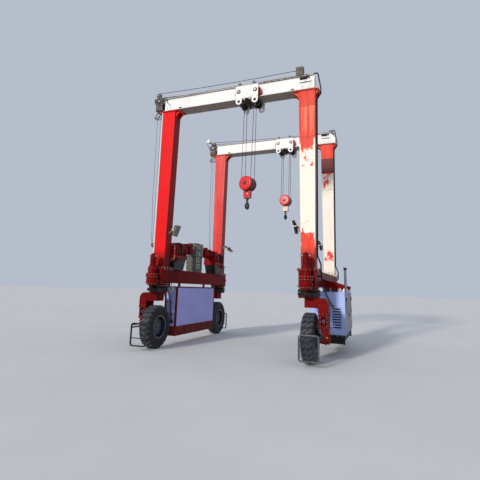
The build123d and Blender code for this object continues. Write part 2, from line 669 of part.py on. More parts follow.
with BuildPart() as carriers:
    for cy in (-1100, 1100):
        with BuildSketch(xz(cy)):
            with BuildLine():
                Polyline((2468, 2105), (3050, 1935), (3050, 1872), (2468, 1872), close=True)
            make_face()
        extrude(amount=45, both=True)
        with Locations((2600, cy, 1811), (2990, cy, 1811)):
            Box(70, 70, 122)
save(carriers, "power_pack_carriers")

# ------------------------------------------------------------- left cabinet
CX0, CX1, CY0, CY1, CZ0, CZ1 = -2468, -2032, -1450, 1390, 280, 1790
CXM, CYM = (CX0 + CX1) / 2, (CY0 + CY1) / 2
with BuildPart() as cab:
    with Locations((CXM, CYM, (CZ0 + CZ1) / 2)):
        Box(CX1 - CX0, CY1 - CY0, CZ1 - CZ0)
    # inside, side windows, end windows and roof window of the frame
    with Locations((CXM, CYM, (570 + CZ1 - 40) / 2)):
        Box(CX1 - CX0 + 10, CY1 - CY0 - 110, CZ1 - 40 - 570, mode=Mode.SUBTRACT)
        Box(CX1 - CX0 - 110, CY1 - CY0 + 10, CZ1 - 40 - 570, mode=Mode.SUBTRACT)
    with Locations((CXM, CYM, CZ1)):
        Box(CX1 - CX0 - 110, CY1 - CY0 - 110, 200, mode=Mode.SUBTRACT)
    # tray under the frame is hollow
    with Locations((CXM, CYM, 570 / 2 + 150)):
        Box(CX1 - CX0 - 60, CY1 - CY0 - 60, 290, mode=Mode.SUBTRACT)
    for y in (-1300, 1250):
        for x in (CX0 + 30, CX1 - 30):
            with Locations((x, y, (CZ1 + SIDE_Z0) / 2)):
                Box(60, 60, SIDE_Z0 - CZ1)
save(cab, "left_cabinet_frame")

with BuildPart() as panels:
    with Locations((CX1 - 15, CYM, 1160), (CX0 + 15, CYM, 1160)):
        Box(24, CY1 - CY0 - 112, 1178)
    with Locations((CXM, CY0 + 15, 1160), (CXM, CY1 - 15, 1160)):
        Box(CX1 - CX0 - 112, 24, 1178)
    with Locations((CXM, CYM, CZ1 - 15)):
        Box(CX1 - CX0 - 112, CY1 - CY0 - 112, 24)
save(panels, "left_cabinet_panels")

# ------------------------------------------------------------------- lights
# name, centre, tilt about Y, height of the arm on the leg
with BuildPart() as lights:
    for c, tilt, arm_z in (
        ((-1810, -2150, 3455), 20, 3400),
        ((1880, -2150, 3450), -14, 3330),
        ((-1780, 2050, 3350), 125, 3390),
        ((1920, 2050, 3430), -14, 3310),
    ):
        with Locations(Location(c, (0, tilt, 0))):
            Box(90, 280, 340)
        face = LEG_X - LEG_W_BOT / 2 - (LEG_W_TOP - LEG_W_BOT) / 2 * (arm_z - SIDE_Z1) / (BEAM_Z0 - SIDE_Z1)
        reach = face - abs(c[0])
        with Locations((math.copysign(face - 1 - reach / 2, c[0]), c[1], arm_z)):
            Box(reach, 40, 30)
    # round headlight under the left side beam
    with Locations(Location((-2020, -1795, 1704), (90, 0, 0))):
        Cylinder(84, 90)
    with Locations((-2060, -1795, 1830)):
        Box(40, 60, 114)
    # round lamp on an arm at the left end of the rear beam
    with Locations(Location((-2862, 1965, 8085), (90, 0, 0))):
        Cylinder(88, 80)
    with Locations(Location((-2721, 2018, 7971), (0, -51, 0))):
        Cylinder(26, 282)
save(lights, "floodlights")

# -------------------------------------------------------------------- hoses
# Cables and hoses clipped along the structure: radius, bend radius, points
leg_face = LEG_X + LEG_W_BOT / 2 + 26


def on_leg(z):
    """X of a cable's middle, clipped on the outer face of a right leg."""
    return leg_face + (LEG_W_TOP - LEG_W_BOT) / 2 * (z - SIDE_Z1) / (BEAM_Z0 - SIDE_Z1)


def loop(y):
    """Cable from its gland on the beam's deck, round the beam's end, to the foot of the leg."""
    return [
        (2395, y, 7845), (2395, y, 7985), (2540, y, 7985), (2618, y, 7500), (2618, y, 7330),
        (on_leg(7150), y, 7150), (on_leg(2680), y, 2680), (2553, y, 2450),
    ]


HOSES = (
    (20, 60, loop(-2100) + [(2553, -2100, 2290), (2553, -1840, 1900), (2612, -1650, 1690), (2732, -1290, 1362), (2732, -1195, 1362)]),
    (20, 55, loop(2100) + [(2553, 2100, 2180), (SIDE_W / 2 + LEG_X + 12, 2100, 2180)]),
    (17, 90, [(-2440, -1500, 1875), (-2486, -1500, 1640), (-2406, -1500, 1355), (-2300, -1500, 700)]),
    (17, 90, [(-2370, -1500, 1875), (-2330, -1500, 1627), (-2242, -1500, 1361), (-2160, -1500, 700)]),
)
# glands: centre, direction, radius, length
GLANDS = (
    ((2395, -2100, 7852), (0, 0, 0), 24, 30), ((2395, 2100, 7852), (0, 0, 0), 24, 30),
    ((2732, -1198, 1362), (90, 0, 0), 27, 36), ((2480, 2100, 2180), (0, 90, 0), 25, 24),
    ((-2437, -1500, 1874), (0, 0, 0), 25, 26), ((-2368, -1500, 1874), (0, 0, 0), 25, 26),
)
# clips: centre and size of the block that holds a hose to the surface behind it
CLIPS = [((on_leg(z) - 12.6, y, z), (26, 46, 40)) for z in (3150, 4200, 5250, 6300, 7100) for y in (-2100, 2100)]
CLIPS += [((2510, -2010, 2150), (84, 40, 50))]
CLIPS += [((-2392, -1474, 1300), (60, 48, 30)), ((-2224, -1474, 1300), (60, 48, 30)),
          ((-2330, -1474, 930), (60, 48, 30)), ((-2184, -1474, 930), (60, 48, 30)),
          ((-2299, -1485, 705), (60, 70, 70)), ((-2159, -1485, 705), (60, 70, 70))]
with BuildPart() as hoses:
    for radius, bend, points in HOSES:
        with BuildLine() as route:
            FilletPolyline(*points, radius=bend)
        with BuildSketch(Plane(origin=route.line @ 0, z_dir=route.line % 0)):
            Circle(radius)
        sweep(path=route.line)
    for at, turn, radius, length in GLANDS:
        with Locations(Location(at, turn)):
            Cylinder(radius, length)
    for at, size in CLIPS:
        with Locations(at):
            Box(*size)
save(hoses, "hoses")
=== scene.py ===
import math
import bpy
import bmesh
import numpy as np
from mathutils import Matrix, Vector


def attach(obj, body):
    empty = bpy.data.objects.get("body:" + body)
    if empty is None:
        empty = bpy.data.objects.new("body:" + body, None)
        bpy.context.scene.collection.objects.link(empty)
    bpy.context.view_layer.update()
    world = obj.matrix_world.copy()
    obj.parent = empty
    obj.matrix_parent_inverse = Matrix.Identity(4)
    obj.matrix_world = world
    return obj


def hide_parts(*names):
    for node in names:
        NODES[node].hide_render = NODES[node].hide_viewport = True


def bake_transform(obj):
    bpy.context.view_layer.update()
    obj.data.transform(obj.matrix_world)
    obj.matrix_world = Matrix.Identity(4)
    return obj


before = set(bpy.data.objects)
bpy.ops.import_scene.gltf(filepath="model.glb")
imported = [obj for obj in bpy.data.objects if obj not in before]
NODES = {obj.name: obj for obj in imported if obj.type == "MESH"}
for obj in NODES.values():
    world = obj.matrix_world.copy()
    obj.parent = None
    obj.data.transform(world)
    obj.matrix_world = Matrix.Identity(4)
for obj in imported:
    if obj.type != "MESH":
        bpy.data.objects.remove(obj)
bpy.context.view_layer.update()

CORNERS = (
    ("front_left", -1, -1),
    ("front_right", 1, -1),
    ("rear_left", -1, 1),
    ("rear_right", 1, 1),
)
# trolley table: name, beam Y, trolley X, hook X, sheave-housing centre Z, its turn about Z
TROLLEYS = (
    ("front", -2.125, 0.500, 0.474, 4.775, -12),
    ("rear", 2.125, 0.610, 0.580, 5.250, -5),
)

# ------------------------------------------------------------------ camera
YAW, PITCH, ROLL = math.radians(20.698), math.radians(11.354), math.radians(1.664)
fwd = Vector((-math.sin(YAW) * math.cos(PITCH), math.cos(YAW) * math.cos(PITCH), math.sin(PITCH)))
right = Vector((math.cos(YAW), math.sin(YAW), 0))
up = right.cross(fwd)
r2 = math.cos(ROLL) * right + math.sin(ROLL) * up
u2 = -math.sin(ROLL) * right + math.cos(ROLL) * up
cam_data = bpy.data.cameras.new("camera")
cam_data.sensor_width = 36
cam_data.lens = 373.228 / 480 * 36
cam_data.shift_y = -26.5 / 480
cam_data.clip_end = 500
cam = bpy.data.objects.new("camera", cam_data)
bpy.context.scene.collection.objects.link(cam)
m = Matrix.Identity(4)
for i, v in enumerate((r2, u2, -fwd, Vector((4.00564, -12.0399, 1.77902)))):
    for k in range(3):
        m[k][i] = v[k]
cam.matrix_world = m
bpy.context.scene.camera = cam


# --------------------------------------------------------- material helpers
class Mat:
    """A small builder for node materials. Textures use object coordinates, in metres."""

    def __init__(self, name):
        self.m = bpy.data.materials.new(name)
        self.m.use_nodes = True
        self.t = self.m.node_tree
        self.t.nodes.clear()
        self.out = self.t.nodes.new("ShaderNodeOutputMaterial")
        self.b = self.t.nodes.new("ShaderNodeBsdfPrincipled")
        self.t.links.new(self.b.outputs[0], self.out.inputs[0])
        self.co = self.t.nodes.new("ShaderNodeTexCoord").outputs["Object"]

    def put(self, socket, value):
        if hasattr(value, "is_linked") or hasattr(value, "links"):
            self.t.links.new(value, socket)
        else:
            if isinstance(value, (tuple, list)) and len(value) == 3 and socket.type == "RGBA":
                value = (*value, 1)
            socket.default_value = value

    def scaled(self, sx, sy, sz, vec=None):
        n = self.t.nodes.new("ShaderNodeVectorMath")
        n.operation = "MULTIPLY"
        self.put(n.inputs[0], vec or self.co)
        n.inputs[1].default_value = (sx, sy, sz)
        return n.outputs[0]

    def noise(self, scale, detail=4.0, rough=0.6, stretch=(1, 1, 1), distort=0.0):
        n = self.t.nodes.new("ShaderNodeTexNoise")
        self.put(n.inputs["Vector"], self.scaled(*stretch))
        n.inputs["Scale"].default_value = scale
        n.inputs["Detail"].default_value = detail
        n.inputs["Roughness"].default_value = rough
        n.inputs["Distortion"].default_value = distort
        return n.outputs["Fac"]

    def voronoi(self, scale, stretch=(1, 1, 1), feature="F1"):
        n = self.t.nodes.new("ShaderNodeTexVoronoi")
        n.feature = feature
        self.put(n.inputs["Vector"], self.scaled(*stretch))
        n.inputs["Scale"].default_value = scale
        return n.outputs["Distance"]

    def wave(self, scale, stretch=(1, 1, 1), axis="X", distort=0.0):
        n = self.t.nodes.new("ShaderNodeTexWave")
        n.bands_direction = axis
        self.put(n.inputs["Vector"], self.scaled(*stretch))
        n.inputs["Scale"].default_value = scale
        n.inputs["Distortion"].default_value = distort
        return n.outputs["Fac"]

    def ramp(self, fac, *stops, mode="LINEAR"):
        n = self.t.nodes.new("ShaderNodeValToRGB")
        n.color_ramp.interpolation = mode
        e = n.color_ramp.elements
        while len(e) < len(stops):
            e.new(0.5)
        for el, (pos, col) in zip(e, stops):
            el.position = pos
            el.color = (*col, 1) if isinstance(col, (tuple, list)) else (col, col, col, 1)
        self.put(n.inputs[0], fac)
        return n.outputs[0]

    def step(self, fac, lo, hi):
        n = self.t.nodes.new("ShaderNodeMapRange")
        n.interpolation_type = "SMOOTHSTEP"
        self.put(n.inputs[0], fac)
        n.inputs[1].default_value = lo
        n.inputs[2].default_value = hi
        n.inputs[3].default_value = 0.0
        n.inputs[4].default_value = 1.0
        return n.outputs[0]

    def span(self, fac, lo, hi, a=0.0, b=1.0):
        n = self.t.nodes.new("ShaderNodeMapRange")
        self.put(n.inputs[0], fac)
        for i, v in enumerate((lo, hi, a, b)):
            n.inputs[i + 1].default_value = v
        return n.outputs[0]

    def op(self, kind, a, b=0.0, clamp=False):
        n = self.t.nodes.new("ShaderNodeMath")
        n.operation = kind
        n.use_clamp = clamp
        self.put(n.inputs[0], a)
        self.put(n.inputs[1], b)
        return n.outputs[0]

    def mix(self, fac, a, b, mode="MIX"):
        n = self.t.nodes.new("ShaderNodeMix")
        n.data_type = "RGBA"
        n.blend_type = mode
        self.put(n.inputs[0], fac)
        self.put(n.inputs[6], a)
        self.put(n.inputs[7], b)
        return n.outputs[2]

    def axis(self, letter):
        n = self.t.nodes.new("ShaderNodeSeparateXYZ")
        self.put(n.inputs[0], self.co)
        return n.outputs[letter]

    def away(self, letter, centre):
        """Distance from a plane, along one axis."""
        return self.op("ABSOLUTE", self.op("SUBTRACT", self.axis(letter), centre))

    def line(self, letter, at, half):
        """1 on a thin line at one coordinate."""
        return self.op("LESS_THAN", self.away(letter, at), half)

    def normal(self, letter):
        g = self.t.nodes.new("ShaderNodeNewGeometry")
        n = self.t.nodes.new("ShaderNodeSeparateXYZ")
        self.put(n.inputs[0], g.outputs["Normal"])
        return n.outputs[letter]

    def edge(self, radius=0.006, gain=8.0):
        """About 1 along sharp edges, 0 on flats."""
        g = self.t.nodes.new("ShaderNodeNewGeometry")
        bv = self.t.nodes.new("ShaderNodeBevel")
        bv.samples = 4
        bv.inputs[0].default_value = radius
        d = self.t.nodes.new("ShaderNodeVectorMath")
        d.operation = "DOT_PRODUCT"
        self.put(d.inputs[0], g.outputs["Normal"])
        self.put(d.inputs[1], bv.outputs[0])
        return self.op("MULTIPLY", self.op("SUBTRACT", 1.0, d.outputs["Value"]), gain, clamp=True)

    def crevice(self, distance=0.08):
        """About 1 in corners and under ledges."""
        n = self.t.nodes.new("ShaderNodeAmbientOcclusion")
        n.samples = 4
        n.inputs["Distance"].default_value = distance
        return self.op("SUBTRACT", 1.0, n.outputs["AO"], clamp=True)

    def bump(self, height, strength=0.3, distance=0.002, normal=None):
        n = self.t.nodes.new("ShaderNodeBump")
        n.inputs["Strength"].default_value = strength
        n.inputs["Distance"].default_value = distance
        self.put(n.inputs["Height"], height)
        if normal is not None:
            self.put(n.inputs["Normal"], normal)
        return n.outputs[0]

    def done(self, color, rough, metallic=0.0, normal=None, spec=None, coat=None):
        self.put(self.b.inputs["Base Color"], color)
        self.put(self.b.inputs["Roughness"], rough)
        self.put(self.b.inputs["Metallic"], metallic)
        if normal is not None:
            self.put(self.b.inputs["Normal"], normal)
        if spec is not None:
            self.b.inputs["Specular IOR Level"].default_value = spec
        if coat is not None:
            self.b.inputs["Coat Weight"].default_value = coat
            self.b.inputs["Coat Roughness"].default_value = 0.15
        return self.m


def weather(k, col, grime_and_shade, streak, chips, rust, rough, low=None, spec=0.14):
    """Rain streaks, fine grime, painted shade in corners and under ledges, chipped edges with rust over a paint colour.
    """
    fine = k.noise(28, 4, 0.7)
    col = k.mix(k.op("MULTIPLY", k.step(fine, 0.45, 0.8), 0.14), col, grime_and_shade)
    st = k.noise(1.0, 5, 0.6, stretch=(9, 9, 0.55))
    col = k.mix(k.op("MULTIPLY", k.step(st, 0.50, 0.78), streak), col, grime_and_shade)
    # painted shade: corners and the undersides of ledges darkened towards the grime colour
    col = k.mix(k.op("MULTIPLY", k.crevice(0.10), 0.75), col, grime_and_shade)
    chip = k.op("MULTIPLY", k.edge(0.007, 7.0), k.step(k.noise(34, 3, 0.6), 0.48, 0.60))
    spot = k.step(k.noise(16, 6, 0.75), chips, chips + 0.03)
    wear = k.op("MAXIMUM", chip, spot)
    col = k.mix(wear, col, rust)
    if low is not None:
        # road dust that settles low down
        dust = k.op("MULTIPLY", k.op("SUBTRACT", 1.0, k.step(k.axis("Z"), 0.0, low)), k.step(k.noise(7, 4, 0.6), 0.3, 0.8))
        col = k.mix(k.op("MULTIPLY", dust, 0.45), col, (0.17, 0.14, 0.11))
    r = k.op("ADD", k.span(fine, 0.3, 0.7, rough - 0.05, rough + 0.14), k.op("MULTIPLY", wear, 0.35), clamp=True)
    h = k.op("ADD", k.op("MULTIPLY", k.noise(120, 2, 0.5), 0.35), k.op("MULTIPLY", wear, -0.8))
    h = k.op("ADD", h, k.op("MULTIPLY", k.noise(2.2, 2, 0.5), 1.2))
    return k.done(col, r, 0.0, k.bump(h, 0.25, 0.0022), spec=spec)


RUST = (0.13, 0.045, 0.02)


def painted(name, base, dark, grime_and_shade, streak=0.35, chips=0.62, rust=RUST, rough=0.36, low=None, extra=None, spec=0.14):
    """Weathered gloss paint. extra(k, colour) may paint bands or patches by position first."""
    k = Mat(name)
    col = k.mix(k.step(k.noise(0.9, 3, 0.5), 0.35, 0.7), base, dark)
    if extra:
        col = extra(k, col)
    return weather(k, col, grime_and_shade, streak, chips, rust, rough, low, spec)


def plain(name, base, dark, rough, metallic=0.0, scale=12.0, bump=0.35, extra=None):
    k = Mat(name)
    a = k.noise(scale, 5, 0.65)
    b = k.noise(scale * 0.13, 3, 0.5)
    col = k.mix(k.step(a, 0.35, 0.75), base, dark)
    col = k.mix(k.op("MULTIPLY", k.step(b, 0.4, 0.7), 0.5), col, dark)
    if extra:
        col = extra(k, col)
    # edges lightened: painted edge highlight, with some rubbed wear
    col = k.mix(k.op("MULTIPLY", k.edge(0.005, 6.0), 0.30), col, tuple(min(1, c * 2.0 + 0.03) for c in base))
    return k.done(col, k.span(a, 0.3, 0.7, rough - 0.08, rough + 0.1), metallic, k.bump(k.noise(scale * 6, 3, 0.6), bump, 0.002), spec=0.35)


# red paints; the lower reds are the same red darkened as painted shadow, for the shadow over the lower structure
RED = (0.640, 0.0070, 0.0080)
RED_DARK = (0.520, 0.0060, 0.0070)
RED_IN_SHADE = (0.175, 0.0028, 0.0034)
RED_IN_SHADE_DARK = (0.105, 0.0022, 0.0028)
GRIME_RED = (0.055, 0.006, 0.006)
CREAM = (0.82, 0.76, 0.66)
SALMON = (0.82, 0.185, 0.110)
WORN = (0.74, 0.034, 0.014)


def leg_paint(name, cx, stops, seams=(), shadow_band=None, salmon_band=(6.2, 6.9), red=WORN, salmon=SALMON, cream=CREAM, shadow_below=2.75, edge=0.22):
    """Red worn through to cream in blotches: stops give how much red is left by height."""
    k = Mat(name)
    z = k.axis("Z")
    bias = k.ramp(k.span(z, 2.2, 7.5), *[((h - 2.2) / 5.3, b) for h, b in stops])
    blotch = k.noise(4.2, 7, 0.68, stretch=(1.5, 1.5, 0.75))
    fine = k.noise(38, 4, 0.7)
    n = k.op("ADD", k.op("MULTIPLY", blotch, 0.78), k.op("MULTIPLY", fine, 0.22))
    n = k.op("ADD", n, bias)
    n = k.op("SUBTRACT", n, k.op("MULTIPLY", k.step(k.away("X", cx), 0.13, 0.22), edge))
    left = k.step(n, 0.965, 1.035)
    drip = k.noise(1.0, 5, 0.6, stretch=(9, 9, 0.45))
    # salmon streaks, strongest between two heights
    zone = k.op("MULTIPLY", k.step(z, salmon_band[0] - 0.25, salmon_band[0] + 0.1), k.op("SUBTRACT", 1.0, k.step(z, salmon_band[1] - 0.02, salmon_band[1])))
    pale = k.op("MULTIPLY", k.step(drip, 0.40, 0.60), k.op("ADD", k.op("MULTIPLY", zone, 0.75), 0.22), clamp=True)
    r = k.mix(pale, k.mix(k.step(k.noise(2.4, 4, 0.6), 0.38, 0.68), red, tuple(c * 0.82 for c in red)), salmon)
    c = k.mix(k.op("MULTIPLY", k.step(k.noise(3.0, 6, 0.7, stretch=(3, 3, 0.8)), 0.52, 0.80), 0.45), cream, (0.70, 0.42, 0.27))
    col = k.mix(left, c, r)
    # painted shadow: a dark band across the leg between two heights
    if shadow_band:
        inside = k.op("MULTIPLY", k.op("GREATER_THAN", z, shadow_band[0]), k.op("LESS_THAN", z, shadow_band[1]))
        col = k.mix(inside, col, (0.135, 0.020, 0.028))
    for h in seams:
        col = k.mix(k.op("MULTIPLY", k.line("Z", h, 0.008), 0.6), col, (0.16, 0.04, 0.03))
    # painted shadow: the bottom of the leg turns to the shaded red
    col = k.mix(k.op("MULTIPLY", k.op("SUBTRACT", 1.0, k.step(z, shadow_below - 0.15, shadow_below + 0.15)), 0.9), col, RED_IN_SHADE)
    # painted shade: the side faces are darker and browner
    side = k.step(k.op("ABSOLUTE", k.normal("X")), 0.5, 0.9)
    col = k.mix(k.op("MULTIPLY", side, 0.55), col, (0.16, 0.05, 0.045))
    return weather(k, col, (0.20, 0.10, 0.08), 0.10, 0.72, RUST, 0.42)


def left_leg(k, col):
    z = k.axis("Z")
    for h in (6.05, 4.72, 3.4):
        col = k.mix(k.op("MULTIPLY", k.line("Z", h, 0.006), 0.5), col, (0.22, 0.01, 0.01))
    # painted shadow over the bottom of the leg
    col = k.mix(k.op("MULTIPLY", k.op("SUBTRACT", 1.0, k.step(z, 2.55, 2.95)), 0.85), col, RED_IN_SHADE)
    # painted shade on the side faces
    side = k.step(k.op("ABSOLUTE", k.normal("X")), 0.5, 0.9)
    return k.mix(k.op("MULTIPLY", side, 0.70), col, (0.085, 0.022, 0.022))


def left_leg_far(k, col):
    z = k.axis("Z")
    col = k.mix(k.op("MULTIPLY", k.step(k.noise(1.0, 5, 0.6, stretch=(8, 8, 0.5)), 0.42, 0.66), 0.45), col, (0.74, 0.12, 0.09))
    for h in (6.55, 5.1, 3.9):
        col = k.mix(k.op("MULTIPLY", k.line("Z", h, 0.008), 0.6), col, (0.22, 0.01, 0.01))
    # painted shadow over the bottom of the leg
    col = k.mix(k.op("MULTIPLY", k.op("SUBTRACT", 1.0, k.step(z, 2.7, 3.1)), 0.85), col, RED_IN_SHADE)
    # painted shade on the side faces
    side = k.step(k.op("ABSOLUTE", k.normal("X")), 0.5, 0.9)
    return k.mix(k.op("MULTIPLY", side, 0.65), col, (0.12, 0.03, 0.03))


def beam_paint(k, col):
    """Painted shade on the underside, a longitudinal weld line, and a darker deck."""
    # painted shade: downward faces darkened
    under = k.op("SUBTRACT", 1.0, k.step(k.normal("Z"), -0.8, -0.4))
    col = k.mix(k.op("MULTIPLY", under, 0.92), col, (0.125, 0.105, 0.095))
    deck = k.step(k.normal("Z"), 0.5, 0.9)
    col = k.mix(k.op("MULTIPLY", deck, 0.55), col, (0.36, 0.31, 0.26))
    col = k.mix(k.op("MULTIPLY", k.line("Z", 7.655, 0.005), 0.40), col, (0.40, 0.36, 0.32))
    col = k.mix(k.op("MULTIPLY", k.line("Z", 7.5, 0.004), 0.22), col, (0.42, 0.38, 0.34))
    low = k.op("MULTIPLY", k.op("SUBTRACT", 1.0, k.step(k.axis("Z"), 7.394, 7.47)), k.step(k.noise(6, 5, 0.7), 0.35, 0.65))
    return k.mix(k.op("MULTIPLY", low, 0.35), col, (0.42, 0.30, 0.20))


def slot_inside(k, col):
    """Beam paint, with painted shade in reddish brown on the inside walls of the rope slot."""
    col = beam_paint(k, col)
    z, x = k.axis("Z"), k.axis("X")
    near = k.op("MULTIPLY", k.op("GREATER_THAN", z, 7.724), k.op("MULTIPLY", k.op("GREATER_THAN", x, 2.04), k.op("LESS_THAN", x, 2.345)))
    inner = k.op("MULTIPLY", near, k.op("LESS_THAN", k.op("ABSOLUTE", k.normal("Y")), 0.5))
    inner = k.op("MULTIPLY", inner, k.op("LESS_THAN", z, 7.8175))
    return k.mix(inner, col, (0.10, 0.03, 0.02))


def trolley_paint(by):
    def extra(k, col):
        inside = k.op("LESS_THAN", k.away("Y", by), 0.33)
        return k.mix(inside, col, (0.014, 0.013, 0.012))
    return extra


def wheel_paint(by):
    def extra(k, col):
        out = k.op("GREATER_THAN", k.away("Y", by), 0.335)
        return k.mix(out, col, (0.20, 0.195, 0.19))
    return extra


def block_paint(hx, by, hz, turn, yoke):
    def extra(k, col):
        t = math.radians(turn)
        s = k.op("ADD", k.op("MULTIPLY", k.op("SUBTRACT", k.axis("X"), hx), -math.sin(t)),
                 k.op("MULTIPLY", k.op("SUBTRACT", k.axis("Y"), by), math.cos(t)))
        # painted shade: the middle of the sheave housing, between its two domes, darkened
        mid = k.op("LESS_THAN", k.op("ABSOLUTE", s), 0.124)
        housing = k.op("GREATER_THAN", k.axis("Z"), hz - 0.2105)
        col = k.mix(k.op("MULTIPLY", mid, housing), col, (0.045, 0.008, 0.008))
        return k.mix(k.op("LESS_THAN", k.axis("Z"), hz - 0.2105), col, yoke)
    return extra


def drive_paint(k, col):
    """Greasy black where the pinion runs."""
    return k.mix(k.op("LESS_THAN", k.axis("Z"), 1.795), col, (0.016, 0.013, 0.012))


def seat_paint(k, col):
    return k.mix(k.op("LESS_THAN", k.axis("Z"), 1.8), col, (0.018, 0.014, 0.013))


def end_paint(k, col):
    """Beam-end gear: brown-grey above and below, black greasy rope pulley between."""
    z = k.axis("Z")
    mid = k.op("MULTIPLY", k.step(z, 7.60, 7.66), k.op("SUBTRACT", 1.0, k.step(z, 7.93, 7.97)))
    return k.mix(mid, col, (0.004, 0.004, 0.004))


M = {}
# the grime colour also serves as the painted shade in corners
WHITE, WHITE_DARK, GRIME_AND_SHADE = (0.83, 0.825, 0.80), (0.76, 0.75, 0.72), (0.30, 0.26, 0.20)
M["white"] = painted("white_paint", WHITE, WHITE_DARK, GRIME_AND_SHADE, streak=0.16, chips=0.72, extra=slot_inside)
# white panels, cabinet and doors tinted blue-grey: painted sky shade over white paint
M["panel"] = painted("panel_white_in_shade", (0.400, 0.500, 0.860), (0.350, 0.445, 0.790), (0.20, 0.22, 0.30), streak=0.12, chips=0.76, rough=0.45)
M["cabinet"] = painted("cabinet_white_in_shade", (0.400, 0.410, 0.790), (0.355, 0.365, 0.710), (0.20, 0.19, 0.27), streak=0.12, chips=0.76, rough=0.45)
M["door"] = painted("door_white_in_shade", (0.330, 0.312, 0.345), (0.270, 0.255, 0.285), (0.14, 0.13, 0.13), streak=0.25, chips=0.72, rough=0.42)
M["red"] = painted("red_paint", RED, RED_DARK, (0.12, 0.010, 0.009), streak=0.20, chips=0.72)
# lower structure: red darkened as painted shadow, with road dust low down
M["red_in_shade"] = painted("red_paint_low_in_shade", RED_IN_SHADE, RED_IN_SHADE_DARK, (0.035, 0.006, 0.006), streak=0.45, chips=0.68, low=1.2, spec=0.04)
# winch frames, motors and trolley stops: red darkened as painted shade
M["red_in_half_shade"] = painted("red_paint_mid_in_shade", (0.25, 0.0036, 0.0042), (0.175, 0.0030, 0.0036), (0.05, 0.007, 0.007), streak=0.35, chips=0.68, spec=0.05)
M["red_leg"] = painted("red_leg", (0.74, 0.0060, 0.0085), (0.68, 0.0055, 0.0075), (0.20, 0.010, 0.010), streak=0.10, chips=0.76, extra=left_leg, spec=0.07)
M["red_leg_far"] = painted("red_leg_far", (0.66, 0.030, 0.025), (0.58, 0.024, 0.020), (0.20, 0.02, 0.018), streak=0.15, chips=0.74, extra=left_leg_far)
M["leg_fr"] = leg_paint("worn_leg_near", 2.25, (
    (2.30, 0.85), (2.90, 0.70), (3.15, 0.62), (3.26, 0.58), (3.29, 0.47), (3.55, 0.47), (3.74, 0.36), (3.84, 0.05), (5.08, 0.05),
    (5.11, 0.52), (5.18, 0.42), (5.45, 0.40), (5.58, 0.50), (5.80, 0.64), (5.95, 0.78), (6.10, 0.92), (7.40, 0.95)),
    seams=(3.262, 5.962, 6.90))
# far right leg: the front beam's shadow across its face is painted as a dark band from 6.21 to 6.79 m
M["leg_rr"] = leg_paint("worn_leg_far", 2.25, (
    (2.30, 0.44), (2.50, 0.36), (2.80, 0.36), (2.90, 0.50), (3.15, 0.50), (3.32, 0.38), (3.40, 0.05), (5.38, 0.06), (5.42, 0.40), (5.48, 0.28),
    (5.54, 0.42), (5.80, 0.46), (6.18, 0.52), (6.22, 0.9), (7.40, 0.95)),
    seams=(5.54, 6.79), shadow_band=(6.21, 6.79), salmon_band=(5.4, 6.2), shadow_below=2.2)

M["black"] = plain("black_grease", (0.012, 0.011, 0.010), (0.004, 0.004, 0.004), 0.40, 0.0, 18)
M["black_paint"] = plain("black_paint", (0.009, 0.009, 0.010), (0.005, 0.005, 0.006), 0.5, 0.0, 14)
M["guard"] = plain("guard_paint", (0.030, 0.036, 0.048), (0.014, 0.016, 0.022), 0.45, 0.0, 30)
M["guard_rim"] = plain("guard_rim", (0.115, 0.125, 0.145), (0.05, 0.055, 0.065), 0.4, 0.2, 30)
M["rim"] = plain("rim_grey", (0.034, 0.040, 0.052), (0.014, 0.016, 0.020), 0.5, 0.0, 16)
M["steel"] = plain("dull_steel", (0.34, 0.33, 0.31), (0.16, 0.145, 0.13), 0.42, 0.8, 20)
M["bolt"] = plain("bolt_steel", (0.42, 0.38, 0.33), (0.20, 0.17, 0.14), 0.40, 0.6, 60)
# red painted bolts, darkened as painted shade for the knuckles
M["bolt_red_shaded"] = plain("bolt_painted_in_shade", (0.20, 0.012, 0.010), (0.09, 0.008, 0.007), 0.45, 0.0, 60)
M["rope"] = plain("rope_steel", (0.050, 0.046, 0.042), (0.018, 0.017, 0.016), 0.45, 0.5, 90, bump=0.8)
M["hoist_line"] = plain("hoist_line", (0.17, 0.19, 0.24), (0.09, 0.10, 0.13), 0.5, 0.2, 90, bump=0.8)
M["rope_dark"] = plain("rope_black", (0.012, 0.012, 0.012), (0.005, 0.005, 0.005), 0.42, 0.2, 90, bump=0.8)
M["drum"] = plain("greased_drum", (0.030, 0.032, 0.040), (0.010, 0.011, 0.014), 0.35, 0.3, 16)
M["tank"] = plain("grey_tank", (0.110, 0.112, 0.094), (0.062, 0.063, 0.052), 0.6, 0.0, 9)
M["tank_light"] = plain("tank_ring", (0.50, 0.49, 0.44), (0.34, 0.33, 0.29), 0.55, 0.0, 20)
M["engine"] = plain("engine_grey", (0.12, 0.12, 0.12), (0.05, 0.05, 0.05), 0.6, 0.0, 9)
M["exhaust"] = plain("exhaust_grey", (0.42, 0.46, 0.55), (0.24, 0.26, 0.31), 0.45, 0.2, 14)
M["brown"] = plain("brown_grey", (0.095, 0.073, 0.055), (0.045, 0.034, 0.026), 0.55, 0.1, 14)
M["ends"] = plain("beam_end_gear", (0.085, 0.066, 0.050), (0.032, 0.025, 0.020), 0.5, 0.1, 12, extra=end_paint)
M["tyre_lug"] = plain("tyre_lugs", (0.060, 0.064, 0.076), (0.034, 0.036, 0.044), 0.62, 0.0, 22)
M["slate"] = plain("wheel_disc", (0.040, 0.050, 0.078), (0.022, 0.027, 0.042), 0.45, 0.0, 16)
M["tyre"] = plain("tyre_rubber", (0.013, 0.014, 0.018), (0.007, 0.008, 0.010), 0.66, 0.0, 22)
M["hose"] = plain("hose_rubber", (0.012, 0.012, 0.013), (0.006, 0.006, 0.006), 0.38, 0.0, 40)
M["brass"] = plain("fitting_brass", (0.55, 0.42, 0.12), (0.34, 0.24, 0.07), 0.35, 0.8, 50)
